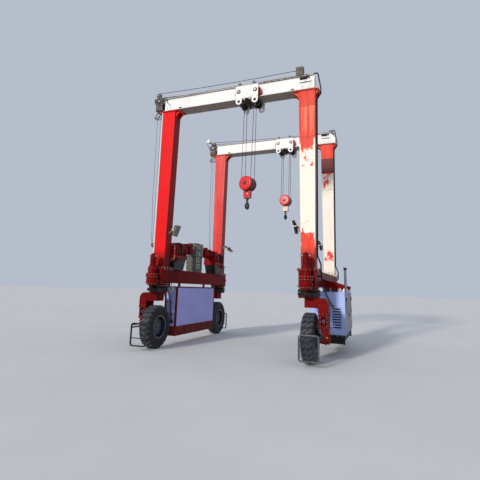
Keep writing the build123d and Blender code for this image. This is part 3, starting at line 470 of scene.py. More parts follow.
M["knob"] = plain("knob_white", (0.74, 0.72, 0.68), (0.60, 0.58, 0.54), 0.4, 0.0, 40)
M["lamp_arm"] = plain("lamp_arm", (0.33, 0.28, 0.21), (0.20, 0.17, 0.12), 0.45, 0.3, 40)
M["cable_brown"] = plain("cable_brown", (0.22, 0.155, 0.105), (0.12, 0.08, 0.055), 0.5, 0.0, 30)


def glass(name, col, dark):
    k = Mat(name)
    g = k.wave(26, (1, 1, 1), "Z", 0.0)
    c = k.mix(k.step(g, 0.25, 0.75), col, dark)
    c = k.mix(k.op("MULTIPLY", k.step(k.noise(9, 3, 0.5), 0.45, 0.7), 0.5), c, dark)
    return k.done(c, 0.12, 0.0, k.bump(g, 0.25, 0.002), coat=0.6)


M["glass"] = glass("lamp_glass", (0.16, 0.15, 0.085), (0.020, 0.024, 0.030))
M["lens"] = glass("round_lens", (0.50, 0.55, 0.62), (0.16, 0.19, 0.24))

# ------------------------------------------------------------ mesh helpers
def frame_of(direction):
    """Two unit vectors square to a direction."""
    d = Vector(direction).normalized()
    a = Vector((0, 0, 1)) if abs(d.z) < 0.9 else Vector((1, 0, 0))
    u = d.cross(a).normalized()
    return u, d.cross(u)


class Parts:
    """Many small fittings gathered in one mesh that rides on one body. Metres."""

    def __init__(self, name):
        self.name = name
        self.v, self.f, self.mi, self.keys, self.cur = [], [], [], [], 0

    def use(self, key):
        if key not in self.keys:
            self.keys.append(key)
        self.cur = self.keys.index(key)
        return self

    def add(self, verts, faces):
        o = len(self.v)
        self.v += [tuple(p) for p in verts]
        self.f += [tuple(i + o for i in f) for f in faces]
        self.mi += [self.cur] * len(faces)

    def convex(self, verts, faces):
        """Adds a convex shape with its faces turned outward."""
        c = sum((Vector(p) for p in verts), Vector()) / len(verts)
        out = []
        for f in faces:
            p = [Vector(verts[i]) for i in f]
            n = (p[1] - p[0]).cross(p[2] - p[0])
            mid = sum(p, Vector()) / len(p)
            out.append(tuple(f) if n.dot(mid - c) >= 0 else tuple(reversed(f)))
        self.add(verts, out)

    def box(self, c, size, turn=None, ch=0.003):
        """Box with chamfered edges. turn is a 3x3 rotation."""
        h = [s / 2 for s in size]
        ch = min(ch, 0.3 * min(h) * 2)
        vs, idx = [], {}
        for sx in (-1, 1):
            for sy in (-1, 1):
                for sz in (-1, 1):
                    for a in range(3):
                        q = [sx * (h[0] - ch), sy * (h[1] - ch), sz * (h[2] - ch)]
                        q[a] = (sx, sy, sz)[a] * h[a]
                        p = Vector(q)
                        if turn is not None:
                            p = turn @ p
                        idx[(sx, sy, sz, a)] = len(vs)
                        vs.append(p + Vector(c))
        fs = []
        for a in range(3):
            b, d = [k for k in range(3) if k != a]
            for s in (-1, 1):
                loop = []
                for t, w in ((-1, -1), (1, -1), (1, 1), (-1, 1)):
                    key = [0, 0, 0]
                    key[a], key[b], key[d] = s, t, w
                    loop.append(idx[(*key, a)])
                fs.append(loop)
        for a in range(3):
            b, d = [k for k in range(3) if k != a]
            for t in (-1, 1):
                for w in (-1, 1):
                    loop = []
                    for s, kind in ((-1, b), (1, b), (1, d), (-1, d)):
                        key = [0, 0, 0]
                        key[a], key[b], key[d] = s, t, w
                        loop.append(idx[(*key, kind)])
                    fs.append(loop)
        for sx in (-1, 1):
            for sy in (-1, 1):
                for sz in (-1, 1):
                    fs.append([idx[(sx, sy, sz, a)] for a in range(3)])
        self.convex(vs, fs)

    def lathe(self, c, axis, profile, seg=24, close=False):
        """Profile of (radius, distance along the axis) turned round the axis."""
        u, w = frame_of(axis)
        d = Vector(axis).normalized()
        c = Vector(c)
        rings, vs = [], []
        for r, t in profile:
            if r < 1e-6:
                rings.append([len(vs)])
                vs.append(c + d * t)
            else:
                rings.append(list(range(len(vs), len(vs) + seg)))
                for i in range(seg):
                    a = 2 * math.pi * i / seg
                    vs.append(c + d * t + (u * math.cos(a) + w * math.sin(a)) * r)
        fs = []
        pairs = list(zip(rings, rings[1:] + rings[:1])) if close else list(zip(rings, rings[1:]))
        for A, B in pairs:
            for i in range(seg):
                j = (i + 1) % seg
                if len(A) == 1 and len(B) == 1:
                    continue
                if len(A) == 1:
                    fs.append((A[0], B[i], B[j]))
                elif len(B) == 1:
                    fs.append((A[i], B[0], A[j]))
                else:
                    fs.append((A[i], B[i], B[j], A[j]))
        self.add(vs, fs)

    def cyl(self, a, b, r, seg=16, r1=None, ch=0.0015):
        a, b = Vector(a), Vector(b)
        L = (b - a).length
        r1 = r if r1 is None else r1
        ch = min(ch, 0.3 * min(r, r1, L))
        self.lathe(a, b - a, [(0, 0), (r - ch, 0), (r, ch), (r1, L - ch), (r1 - ch, L), (0, L)], seg)

    def tube(self, pts, r, seg=10, closed=False, radii=None):
        """Round bar or rope along a line of points."""
        p = [Vector(q) for q in pts]
        n = len(p)
        tang = []
        for i in range(n):
            if closed:
                t = p[(i + 1) % n] - p[i - 1]
            else:
                t = p[min(i + 1, n - 1)] - p[max(i - 1, 0)]
            tang.append(t.normalized())
        u, w = frame_of(tang[0])
        vs, rings = [], []
        for i in range(n):
            u = (u - tang[i] * u.dot(tang[i])).normalized()
            w = tang[i].cross(u)
            rad = radii[i] if radii else r
            rings.append(list(range(len(vs), len(vs) + seg)))
            for k in range(seg):
                a = 2 * math.pi * k / seg
                vs.append(p[i] + (u * math.cos(a) + w * math.sin(a)) * rad)
        fs = []
        for i in range(n if closed else n - 1):
            A, B = rings[i], rings[(i + 1) % n]
            for k in range(seg):
                j = (k + 1) % seg
                fs.append((A[k], A[j], B[j], B[k]))
        if not closed:
            fs.append(tuple(reversed(rings[0])))
            fs.append(tuple(rings[-1]))
        self.add(vs, fs)

    def ring(self, c, axis, R, r, seg=32, sub=8):
        u, w = frame_of(axis)
        c = Vector(c)
        self.tube([c + (u * math.cos(2 * math.pi * i / seg) + w * math.sin(2 * math.pi * i / seg)) * R for i in range(seg)], r, sub, True)

    def prism(self, poly, push):
        """Flat polygon of 3-D points pushed along a vector."""
        n = len(poly)
        a = [Vector(q) for q in poly]
        b = [q + Vector(push) for q in a]
        nrm = Vector()
        for i in range(n):
            nrm += a[i].cross(a[(i + 1) % n])
        fs = [tuple(range(n)), tuple(reversed(range(n, 2 * n)))]
        for i in range(n):
            j = (i + 1) % n
            fs.append((i, i + n, j + n, j))
        if nrm.dot(Vector(push)) > 0:
            fs = [tuple(reversed(f)) for f in fs]
        self.add(a + b, fs)

    def bolt(self, p, axis, af=0.024, h=0.014, washer=True, nut=False):
        """Hexagon head on a washer, standing on point p along the axis."""
        d = Vector(axis).normalized()
        u, w = frame_of(d)
        p = Vector(p)
        if washer:
            self.lathe(p - d * 0.002, d, [(af * 0.78, 0), (af * 0.78, 0.005), (af * 0.5, 0.0055)], 12)
            p = p + d * 0.003
        r = af / math.sqrt(3)
        vs, fs = [], []
        for k in range(6):
            a = math.pi * k / 3
            o = u * math.cos(a) + w * math.sin(a)
            vs += [p + o * r, p + o * r + d * (h * 0.82), p + o * r * 0.84 + d * h]
        for k in range(6):
            j = (k + 1) % 6
            fs += [(3 * k, 3 * j, 3 * j + 1, 3 * k + 1), (3 * k + 1, 3 * j + 1, 3 * j + 2, 3 * k + 2)]
        fs.append(tuple(3 * k + 2 for k in range(6)))
        self.convex(vs, fs)
        if nut:
            self.cyl(p + d * h, p + d * (h + af * 0.45), af * 0.26, 8)

    def bolts(self, points, axis, af=0.024, h=0.014, washer=True, nut=False):
        for p in points:
            self.bolt(p, axis, af, h, washer, nut)

    def circle(self, c, axis, R, count, af=0.024, h=0.014, turn=0.0, out=None, washer=True):
        """Bolts on a circle, standing along out."""
        u, w = frame_of(axis)
        for i in range(count):
            a = 2 * math.pi * (i + turn) / count
            self.bolt(Vector(c) + (u * math.cos(a) + w * math.sin(a)) * R, out or axis, af, h, washer)

    def done(self, body, slot=None, smooth=40, hand_over=True):
        me = bpy.data.meshes.new(self.name)
        me.from_pydata([tuple(p) for p in self.v], [], self.f)
        me.polygons.foreach_set("material_index", self.mi)
        me.polygons.foreach_set("use_smooth", [True] * len(self.f))
        me.update()
        me.set_sharp_from_angle(angle=math.radians(smooth))
        for key in self.keys:
            me.materials.append(M[key])
        o = bpy.data.objects.new(self.name, me)
        bpy.context.scene.collection.objects.link(o)
        if hand_over:
            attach(o, body)
        return o


def rot(axis, degrees):
    return Matrix.Rotation(math.radians(degrees), 3, axis)


def along(a, b, n):
    """n points evenly from a to b."""
    a, b = Vector(a), Vector(b)
    return [a + (b - a) * (i / (n - 1)) for i in range(n)]


def bezier(points, n=8):
    """Smooth line through points (Catmull-Rom), n steps a span."""
    p = [Vector(q) for q in points]
    p = [p[0] * 2 - p[1]] + p + [p[-1] * 2 - p[-2]]
    out = []
    for i in range(1, len(p) - 2):
        for k in range(n):
            t = k / n
            out.append(0.5 * ((2 * p[i]) + (p[i + 1] - p[i - 1]) * t + (2 * p[i - 1] - 5 * p[i] + 4 * p[i + 1] - p[i + 2]) * t * t
                              + (3 * p[i] - p[i - 1] - 3 * p[i + 1] + p[i + 2]) * t ** 3))
    out.append(p[-2])
    return out


# --------------------------------------------------- finish of the CAD nodes
def tidy(o, width=0.0035):
    """Welds the mesh and rounds its sharp edges a little."""
    w = o.modifiers.new("weld", "WELD")
    w.merge_threshold = 0.00005
    b = o.modifiers.new("bevel", "BEVEL")
    b.limit_method = "ANGLE"
    b.angle_limit = math.radians(38)
    b.width = width
    b.segments = 2
    b.use_clamp_overlap = True
    b.harden_normals = False
    n = o.modifiers.new("normals", "WEIGHTED_NORMAL")
    n.keep_sharp = False


BEVEL = {"power_pack_shell": 0.006, "power_pack_front_door": 0.004, "power_pack_rear_door": 0.004, "left_cabinet_panels": 0.004,
         "left_cabinet_frame": 0.004, "left_side_beam": 0.005, "right_side_beam": 0.005, "front_beam": 0.003, "rear_beam": 0.003,
         "winch_frames": 0.006, "winch_pedestals": 0.004, "tank_stack": 0.012, "power_pack_base": 0.006, "power_pack_carriers": 0.004}
for c in CORNERS:
    BEVEL[c[0] + "_leg"] = 0.004
    BEVEL[c[0] + "_knuckle"] = 0.006
for name, width in BEVEL.items():
    tidy(NODES[name], width)

for name, o in NODES.items():
    # parts not listed take the red darkened as painted shadow
    key = "red_in_shade"
    if name in ("front_beam", "rear_beam"): key = "white"
    elif name == "front_left_leg": key = "red_leg"
    elif name == "rear_left_leg": key = "red_leg_far"
    elif name == "front_right_leg": key = "leg_fr"
    elif name == "rear_right_leg": key = "leg_rr"
    elif "slew_ring" in name or "guard" in name or "sheaves" in name or name == "winch_pedestals": key = "black"
    elif name == "beam_end_pulleys": key = "ends"
    elif name.endswith("_hook"): key = "black"
    elif name.endswith("_tyre"): key = "tyre"
    elif name.endswith("_rim"): key = "rim"
    elif name == "power_pack_shell": key = "panel"
    elif name.startswith("power_pack") and name.endswith("door"): key = "door"
    elif name == "left_cabinet_panels": key = "cabinet"
    elif name == "power_pack_base": key = "black_paint"
    elif name == "winch_drums": key = "drum"
    elif name in ("winch_frames", "winch_motors"): key = "red_in_half_shade"
    elif name == "tank_stack": key = "tank"
    elif name == "engine_block": key = "engine"
    elif name == "exhaust": key = "exhaust"
    elif name == "floodlights": key = "black_paint"
    elif name == "hoses": key = "hose"
    o.data.materials.clear()
    if "trolley_frame" in name or "trolley_wheels" in name or "hook_block" in name or name in ("steering_drives", "slewing_seats"):
        continue
    o.data.materials.append(M[key])

# steering drives and slewing seats: the red darkened as painted shadow, with black grease low down
NODES["steering_drives"].data.materials.append(painted("drive_red", RED_IN_SHADE, RED_IN_SHADE_DARK, (0.035, 0.006, 0.006), streak=0.4, chips=0.66, extra=drive_paint, spec=0.05))
NODES["slewing_seats"].data.materials.append(painted("seat_red", RED_IN_SHADE, RED_IN_SHADE_DARK, (0.035, 0.006, 0.006), streak=0.4, chips=0.66, extra=seat_paint, spec=0.05))
for name, by, tx, hx, hz, turn in TROLLEYS:
    NODES[name + "_trolley_frame"].data.materials.append(
        painted(name + "_trolley_white", WHITE, WHITE_DARK, GRIME_AND_SHADE, streak=0.18, chips=0.71, extra=trolley_paint(by)))
    NODES[name + "_trolley_wheels"].data.materials.append(
        painted(name + "_trolley_red", (0.50, 0.012, 0.012), (0.36, 0.010, 0.010), (0.06, 0.01, 0.01), streak=0.2, chips=0.66, extra=wheel_paint(by)))
    yoke = (0.55, 0.010, 0.011) if name == "front" else (0.55, 0.44, 0.36)
    NODES[name + "_hook_block"].data.materials.append(
        painted(name + "_block_red", (0.66, 0.0075, 0.0085), (0.52, 0.0065, 0.0075), (0.10, 0.010, 0.009), streak=0.15, chips=0.72,
                rough=0.30, extra=block_paint(hx, by, hz, turn, yoke), spec=0.5))

# ------------------------------------------------------------- legs and beams
P = Parts("leg_fittings")
for corner, sx, sy in CORNERS:
    cx, cy = sx * 2.250, sy * 2.125
    P.use("bolt")
    for ox in (-0.255, 0.255):
        for oy in (-0.215, -0.075, 0.075, 0.215):
            P.bolt((cx + ox, cy + oy, 2.327), (0, 0, 1), 0.030, 0.019)
            P.cyl((cx + ox, cy + oy, 2.297), (cx + ox, cy + oy, 2.262), 0.010, 10)
            P.bolt((cx + ox, cy + oy, 2.297), (0, 0, -1), 0.030, 0.022, True)
    for s in (-1, 1):
        for ox in (-0.165, -0.055, 0.055, 0.165):
            P.bolt((cx + ox, cy + s * 0.215, 2.327), (0, 0, 1), 0.030, 0.019)
    # top flange bolts, outboard and inboard of the leg
    for ox in (sx * 0.305, -sx * 0.395):
        for oy in (-0.165, -0.055, 0.055, 0.165):
            P.bolt((cx + ox, cy + oy, 7.374), (0, 0, -1), 0.032, 0.022)
    # weld beads along the box corners at the base flange
    P.use("red_in_shade")
    for s in (-1, 1):
        P.tube([(cx - 0.187, cy + s * 0.1745, 2.330), (cx + 0.187, cy + s * 0.1745, 2.330)], 0.006, 8)
        P.tube([(cx + s * 0.190, cy - 0.17, 2.330), (cx + s * 0.190, cy + 0.17, 2.330)], 0.006, 8)
P.done("root", "red_paint")

P = Parts("leg_conduit")
hb = lambda z: 0.187 + 0.045 * (z - 2.297) / 5.097
P.use("knob")
P.tube([(-2.250 - hb(z) - 0.004, -2.2965 - 0.004, z) for z in np.linspace(2.40, 7.36, 26)], 0.017, 12)
P.use("steel")
for z in np.linspace(2.75, 7.15, 9):
    P.box((-2.250 - hb(z) + 0.006, -2.2965 - 0.004, z), (0.060, 0.034, 0.022), None, 0.004)
P.done("root", "white_paint")

P = Parts("beam_fittings")
for by, x1 in ((-2.125, 2.470), (2.125, 2.570)):
    # bolt groups at the right end of the web, stiffener line and end plates
    for s in (-1, 1):
        y = by + s * 0.165
        P.use("bolt")
        for x, z in ((2.300, 7.745), (2.352, 7.560), (2.120, 7.520), (2.3, 7.48)):
            P.bolt((x, y, z), (0, s, 0), 0.030, 0.016)
        P.bolt((2.212, by + s * 0.199, 7.664), (0, s, 0), 0.034, 0.018)
        P.use("rope_dark")
        P.ring((2.212, by + s * 0.2005, 7.664), (0, 1, 0), 0.020, 0.004, 20, 8)
        # bolts of the top-flange splice
        P.use("bolt")
        for x in np.arange(-2.25, 2.30, 0.65):
            P.bolt((x, by + s * 0.190, 7.837), (0, 0, 1), 0.022, 0.010)
        # weld beads under the top flange and over the bottom flange
        P.use("white")
        P.tube([(-2.40, by + s * 0.1665, 7.4155), (x1 - 0.16, by + s * 0.1665, 7.4155)], 0.005, 8)
        P.tube([(-2.40, by + s * 0.1665, 7.8215), (x1 - 0.16, by + s * 0.1665, 7.8215)], 0.004, 8)
    # left end plate bolts
    P.use("bolt")
    for oy in (-0.125, 0.125):
        for z in (7.57, 7.69, 7.81):
            P.bolt((-2.442, by + oy, z), (-1, 0, 0), 0.026, 0.014)
    # stops for the trolley on the bottom flange
    P.use("red_in_half_shade")
    for x in (-1.85, 1.85):
        for s in (-1, 1):
            P.box((x, by + s * 0.197, 7.440), (0.050, 0.050, 0.050), None, 0.004)
    P.use("black")
    for x in (-1.85, 1.85):
        for s in (-1, 1):
            q = -1 if x > 0 else 1
            P.lathe((x + q * 0.025, by + s * 0.197, 7.442), (q, 0, 0), [(0, 0), (0.017, 0), (0.021, 0.010), (0.018, 0.030), (0.009, 0.036), (0, 0.037)], 14)
P.done("root", "white_paint")

# pins on the front beam's left end, and the seam flats beside them
P = Parts("beam_end_pins")
P.use("black")
P.lathe((-2.366, -2.290, 7.787), (0, -1, 0), [(0, 0), (0.026, 0), (0.028, 0.004), (0.028, 0.020), (0.016, 0.024), (0.016, 0.055), (0.012, 0.059), (0, 0.059)], 16)
P.use("steel")
P.cyl((-2.251, -2.290, 7.629), (-2.251, -2.430, 7.629), 0.012, 14)
P.use("black")
P.cyl((-2.251, -2.430, 7.629), (-2.251, -2.462, 7.629), 0.015, 14)
P.use("bolt")
for x, z in ((-2.33, 7.52), (-2.20, 7.50), (-2.33, 7.70)):
    P.bolt((x, -2.290, z), (0, -1, 0), 0.026, 0.014)
P.done("root", "black_steel")

# cable along the front beam's upper front edge
P = Parts("beam_cable")
P.use("cable_brown")
pts = bezier([(0.93, -2.342, 7.846), (1.2, -2.343, 7.846), (1.6, -2.342, 7.847), (1.9, -2.343, 7.846), (2.12, -2.341, 7.846), (2.395, -2.30, 7.852)], 6)
P.tube(pts, 0.011, 10)
P.use("rope_dark")
for x in np.arange(1.0, 2.3, 0.21):
    P.box((x, -2.334, 7.840), (0.020, 0.034, 0.032), None, 0.003)
P.use("cable_brown")
P.tube(bezier([(-2.3, -2.342, 7.846), (-1.8, -2.343, 7.846), (-1.2, -2.342, 7.846), (-0.6, -2.343, 7.846), (0.3, -2.342, 7.846), (0.93, -2.342, 7.846)], 6), 0.008, 10)
P.done("root", "rubber_hose")


# ------------------------------------------------------------ steering gear
def teeth(P, c, z0, z1, r, count, h, share=0.5):
    """Ring of gear teeth standing on a round face."""
    for i in range(count):
        a = 2 * math.pi * i / count
        d = Vector((math.cos(a), math.sin(a), 0))
        t = Vector((-d.y, d.x, 0))
        w = math.pi * r / count * share * 2
        base = Vector((c[0], c[1], 0)) + d * (r - 0.002)
        tip = base + d * (h + 0.002)
        poly = [base - t * w / 2, base + t * w / 2, tip + t * w * 0.26, tip - t * w * 0.26]
        P.prism([Vector((q.x, q.y, z0)) for q in poly], (0, 0, z1 - z0))


P = Parts("slewing_seat_bolts")
for corner, sx, sy in CORNERS:
    cx, cy = sx * 2.250, sy * 2.200
    P.use("bolt")
    P.circle((cx, cy, 1.790), (0, 0, 1), 0.268, 24, 0.019, 0.018, 0.5)
    for i in range(20):
        a = 2 * math.pi * (i + 0.5) / 20
        x, y = cx + 0.275 * math.cos(a), cy + 0.275 * math.sin(a)
        if sy * (y - cy) < 0.20:
            P.bolt((x, y, 1.871), (0, 0, -1), 0.020, 0.018)
    # steering drive: pinion teeth, flange bolts and motor fittings
    dx, dy = cx, sy * 2.600
    P.use("black")
    teeth(P, (dx, dy), 1.645, 1.716, 0.105, 24, 0.005)
    P.use("bolt")
    for i in range(14):
        a = 2 * math.pi * (i + 0.5) / 14
        x, y = dx + 0.168 * math.cos(a), dy + 0.168 * math.sin(a)
        if sy * (y - dy) > -0.06:
            P.bolt((x, y, 2.108), (0, 0, 1), 0.017, 0.014)
            P.bolt((x, y, 2.042), (0, 0, -1), 0.017, 0.014)
    P.circle((dx, dy, 2.276), (0, 0, 1), 0.1285, 12, 0.013, 0.011, 0.5, washer=False)
    P.circle((dx, dy, 1.850), (0, 0, 1), 0.148, 14, 0.017, 0.013, 0.5, (0, 0, -1))
    for ox in (-0.14, 0.14):
        for z, zt in ((1.945, 1), (1.915, -1), (2.095, 1), (2.055, -1)):
            P.bolt((dx + ox, sy * 2.525, z), (0, 0, zt), 0.030, 0.018)
    # motor top: terminal cap, two ports with stub pipes, cooling rings
    P.use("red_in_shade")
    for z in np.arange(2.41, 2.555, 0.018):
        P.lathe((dx, dy, z), (0, 0, 1), [(0.079, 0), (0.0855, 0.002), (0.0855, 0.007), (0.079, 0.009)], 28)
    P.lathe((dx, dy, 2.696), (0, 0, 1), [(0.050, 0), (0.050, 0.012), (0.036, 0.022), (0.018, 0.024), (0.018, 0.040), (0, 0.042)], 20)
    P.use("steel")
    for s in (-1, 1):
        P.cyl((dx + s * 0.070, dy + sy * 0.02, 2.640), (dx + s * 0.115, dy + sy * 0.02, 2.640), 0.017, 12)
        P.bolt((dx + s * 0.112, dy + sy * 0.02, 2.640), (s, 0, 0), 0.036, 0.020, False)
P.done("root", "red_paint")

for corner, sx, sy in CORNERS:
    cx, cy = sx * 2.250, sy * 2.200
    P = Parts(corner + "_knuckle_fittings")
    P.use("black")
    teeth(P, (cx, cy), 1.648, 1.713, 0.285, 76, 0.005)
    P.use("bolt_red_shaded")
    P.circle((cx, cy, 1.615), (0, 0, 1), 0.262, 24, 0.017, 0.012, 0.0, (0, 0, -1))
    ox = sx * 2.752
    # cover plates on both sides of the outer arm and on its outer face
    for s in (-1, 1):
        yp = cy + s * 0.212
        for x in (2.545, 2.631, 2.717):
            for z in (1.215, 1.425):
                P.bolt((sx * x, yp, z), (0, s, 0), 0.020, 0.012)
        for x in (2.535, 2.600, 2.665, 2.730):
            P.bolt((sx * x, cy + s * 0.194, 1.192), (0, 0, 1), 0.020, 0.014)
            P.bolt((sx * x, cy + s * 0.194, 1.152), (0, 0, -1), 0.020, 0.014)
            P.bolt((sx * x, cy + s * 0.172, 0.887), (0, 0, 1), 0.015, 0.010, False)
        # small bolts round the lower case, on its front and back
        for z in (0.70, 0.76, 0.82):
            P.bolt((sx * 2.650, cy + s * 0.130, z), (0, s, 0), 0.016, 0.010, False)
    for y in (-0.165, -0.055, 0.055, 0.165):
        for z in (1.225, 1.425):
            P.bolt((ox, cy + y, z), (sx, 0, 0), 0.022, 0.014)
        P.bolt((sx * 2.7565, cy + y, 1.172), (sx, 0, 0), 0.020, 0.012)
    # outer cover of the planetary stage: ring of bolts, boss and plug
    P.circle((sx * 2.748, cy, 0.613), (1, 0, 0), 0.118, 14, 0.015, 0.010, 0.5, (sx, 0, 0), False)
    P.circle((sx * 2.766, cy, 0.613), (1, 0, 0), 0.085, 10, 0.015, 0.010, 0.0, (sx, 0, 0), False)
    P.use("red_in_shade")
    P.lathe((sx * 2.764, cy, 0.613), (sx, 0, 0), [(0.060, 0), (0.060, 0.010), (0.052, 0.018), (0.030, 0.021), (0, 0.022)], 24)
    P.lathe((sx * 2.650, cy, 0.488), (0, 0, -1), [(0.030, 0), (0.030, 0.010), (0.014, 0.014), (0.014, 0.026), (0, 0.027)], 14)
    P.use("brass")
    P.bolt((sx * 2.715, cy - 0.1305, 0.655), (0, -1, 0), 0.030, 0.018, False)
    P.bolt((sx * 2.7665, cy + 0.035, 0.613 + 0.030), (sx, 0, 0), 0.024, 0.012, False)
    # motor in the window of the travel side
    P.use("guard")
    P.lathe((sx * 2.636, cy + sy * 0.146, 1.040), (0, sy, 0), [(0.051, 0), (0.051, 0.012), (0.042, 0.016), (0.042, 0.030), (0.020, 0.032), (0.020, 0.040), (0, 0.041)], 20)
    P.use("guard")
    P.box((sx * 2.636, cy + sy * 0.168, 1.000), (0.060, 0.014, 0.050), None, 0.003)
    P.use("bolt")
    for x in (-0.078, 0.078):
        for z in (0.93, 1.03, 1.13):
            P.bolt((sx * (2.636) + x, cy + sy * 0.180, z), (0, sy, 0), 0.014, 0.008, False)
    # arm brackets of the wheel guard
    for gz in (0.632, 0.700):
        P.bolt((sx * 2.585, cy + sy * 0.150, gz + 0.0175), (0, 0, 1), 0.016, 0.010, False)
    P.done(corner + "_bogie", "red_paint")

# wheel guards of the right-hand wheels: bent round bar with woven wire
for corner, sx, sy in CORNERS:
    if sx < 0:
        continue
    P = Parts(corner + "_guard_mesh")
    gx0, gx1, gz0, gz1, gy = 2.118, 2.592, 0.148, 0.742, sy * 2.900
    P.use("guard_rim")
    R = 0.068
    loop = []
    for cxx, czz, a0 in ((gx1 - R, gz1 - R, 0), (gx0 + R, gz1 - R, 90), (gx0 + R, gz0 + R, 180), (gx1 - R, gz0 + R, 270)):
        for k in range(7):
            a = math.radians(a0 + 15 * k)
            x, z = cxx + R * math.cos(a), czz + R * math.sin(a)
            loop.append((x, gy, z))
    P.tube(loop, 0.0165, 12, True)
    P.use("guard")
    for gz in (0.632, 0.700):
        P.tube([(2.585, gy - sy * 0.01, gz), (2.585, sy * 2.332, gz)], 0.0165, 12)
        P.box((2.585, sy * 2.336, gz), (0.060, 0.012, 0.050), None, 0.003)
    step = 0.0265
    nx, nz = int((gx1 - gx0 - 0.02) / step), int((gz1 - gz0 - 0.02) / step)
    for i in range(1, nx + 1):
        x = gx0 + 0.004 + i * step
        if x > gx1 - 0.008:
            continue
        end = 0.045 * max(0.0, 1 - min(x - gx0, gx1 - x) / R) ** 2
        pts = [(x, gy + (0.0025 if (i + k) % 2 else -0.0025), gz0 + end + (gz1 - gz0 - 2 * end) * k / nz) for k in range(nz + 1)]
        P.tube(pts, 0.0021, 5)
    for j in range(1, nz + 1):
        z = gz0 + 0.004 + j * step
        if z > gz1 - 0.008:
            continue
        end = 0.045 * max(0.0, 1 - min(z - gz0, gz1 - z) / R) ** 2
        pts = [(gx0 + end + (gx1 - gx0 - 2 * end) * k / nx, gy + (-0.0025 if (j + k) % 2 else 0.0025), z) for k in range(nx + 1)]
        P.tube(pts, 0.0021, 5)
    # flat backing strips on the rim that clamp the wire
    for z in (gz0 + 0.02, gz1 - 0.02):
        P.box(((gx0 + gx1) / 2, gy, z), (gx1 - gx0 - 0.14, 0.010, 0.018), None, 0.002)
    for x in (gx0 + 0.02, gx1 - 0.02):
        P.box((x, gy, (gz0 + gz1) / 2), (0.018, 0.010, gz1 - gz0 - 0.14), None, 0.002)
    o = P.done(corner + "_bogie", "black_steel")
    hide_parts(corner + "_wheel_guard")

# -------------------------------------------------------------------- wheels
for corner, sx, sy in CORNERS:
    c = Vector((sx * 2.278, sy * 2.200, 0.613))
    ax = Vector((sx, 0, 0))
    P = Parts(corner + "_lugged_tyre")
    P.use("tyre")
    half = [(0.305, 0.090), (0.306, 0.118), (0.318, 0.131), (0.330, 0.140), (0.342, 0.1435), (0.350, 0.1405), (0.372, 0.1465), (0.400, 0.1515),
            (0.436, 0.1555), (0.470, 0.1570), (0.505, 0.1565), (0.512, 0.1585), (0.522, 0.1580), (0.530, 0.1545), (0.552, 0.1510), (0.570, 0.1440),
            (0.582, 0.1280), (0.587, 0.100), (0.589, 0.050)]
    prof = [(r, -t) for r, t in half] + [(0.5895, 0.0)] + [(r, t) for r, t in reversed(half)]
    prof += [(0.360, 0.105), (0.530, 0.112), (0.556, 0.080), (0.556, -0.080), (0.530, -0.112), (0.360, -0.105)]
    P.lathe(c, ax, list(reversed(prof)), 120, close=True)
    u, w = frame_of(ax)
    rail = [(0.536, 0.1560, 0.0), (0.558, 0.1565, 0.0), (0.577, 0.1490, 0.0), (0.6128, 0.1150, 0.012), (0.6130, 0.080, 0.030), (0.6130, 0.040, 0.060),
            (0.6130, 0.004, 0.074), (0.6130, -0.022, 0.078)]
    pitch = 2 * math.pi / 23
    P.use("tyre_lug")
    for side in (-1, 1):
        for i in range(23):
            a0 = pitch * (i + (0.5 if side > 0 else 0.0))
            vs, fs = [], []
            for k, (r, t, turn) in enumerate(rail):
                wide = (0.066, 0.068, 0.074, 0.078, 0.072, 0.060, 0.056, 0.050)[k] / 0.6
                am = a0 + side * turn / 0.6
                for da, top in ((-0.58, False), (-0.44, True), (0.44, True), (0.58, False)):
                    rr = r if top else min(r - 0.006, 0.5855) if k > 1 else r - 0.004
                    tt = side * (t if (top or k > 2) else t - 0.014)
                    if not top and k <= 1:
                        rr = r
                    a = am + da * wide
                    vs.append(c + ax * tt + (u * math.cos(a) + w * math.sin(a)) * rr)
            n = len(rail)
            for k in range(n - 1):
                for q in range(3):
                    f = (4 * k + q, 4 * k + q + 1, 4 * k + 5 + q, 4 * k + 4 + q)
                    fs.append(f if side < 0 else tuple(reversed(f)))
            f = (0, 4 * 0 + 3, 2, 1)
            fs.append((3, 2, 1, 0) if side < 0 else (0, 1, 2, 3))
            e = 4 * (n - 1)
            fs.append((e, e + 1, e + 2, e + 3) if side < 0 else (e + 3, e + 2, e + 1, e))
            P.add(vs, fs)
    o = P.done(corner + "_wheel", "tyre_rubber", 34)
    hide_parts(corner + "_tyre")

    P = Parts(corner + "_wheel_fittings")
    P.use("guard_rim")
    P.lathe(c, ax, [(0.290, 0.150), (0.332, 0.150), (0.334, 0.153), (0.332, 0.157), (0.318, 0.159), (0.304, 0.157), (0.296, 0.1535), (0.290, 0.1535)], 72)
    P.lathe(c, -ax, [(0.290, 0.150), (0.332, 0.150), (0.334, 0.153), (0.332, 0.157), (0.318, 0.159), (0.304, 0.157), (0.296, 0.1535), (0.290, 0.1535)], 72)
    P.use("bolt")
    P.circle(c + ax * 0.0465, ax, 0.160, 10, 0.030, 0.020, 0.0)
    P.circle(c - ax * 0.0705, -ax, 0.075, 8, 0.022, 0.014, 0.0)
    P.use("slate")
    P.lathe(c, -ax, [(0.100, 0.056), (0.100, 0.074), (0.140, 0.078), (0.215, 0.080), (0.234, 0.072), (0.240, 0.050), (0.240, 0.010)], 60)
    P.use("rim")
    P.lathe(c - ax * 0.0695, -ax, [(0.050, 0), (0.050, 0.012), (0.040, 0.020), (0.018, 0.022), (0, 0.022)], 24)
    P.use("brass")
    P.tube([c + ax * 0.050 + u * 0.285, c + ax * 0.075 + u * 0.278, c + ax * 0.110 + u * 0.270], 0.006, 10)
    P.done(corner + "_wheel", "rim_grey")

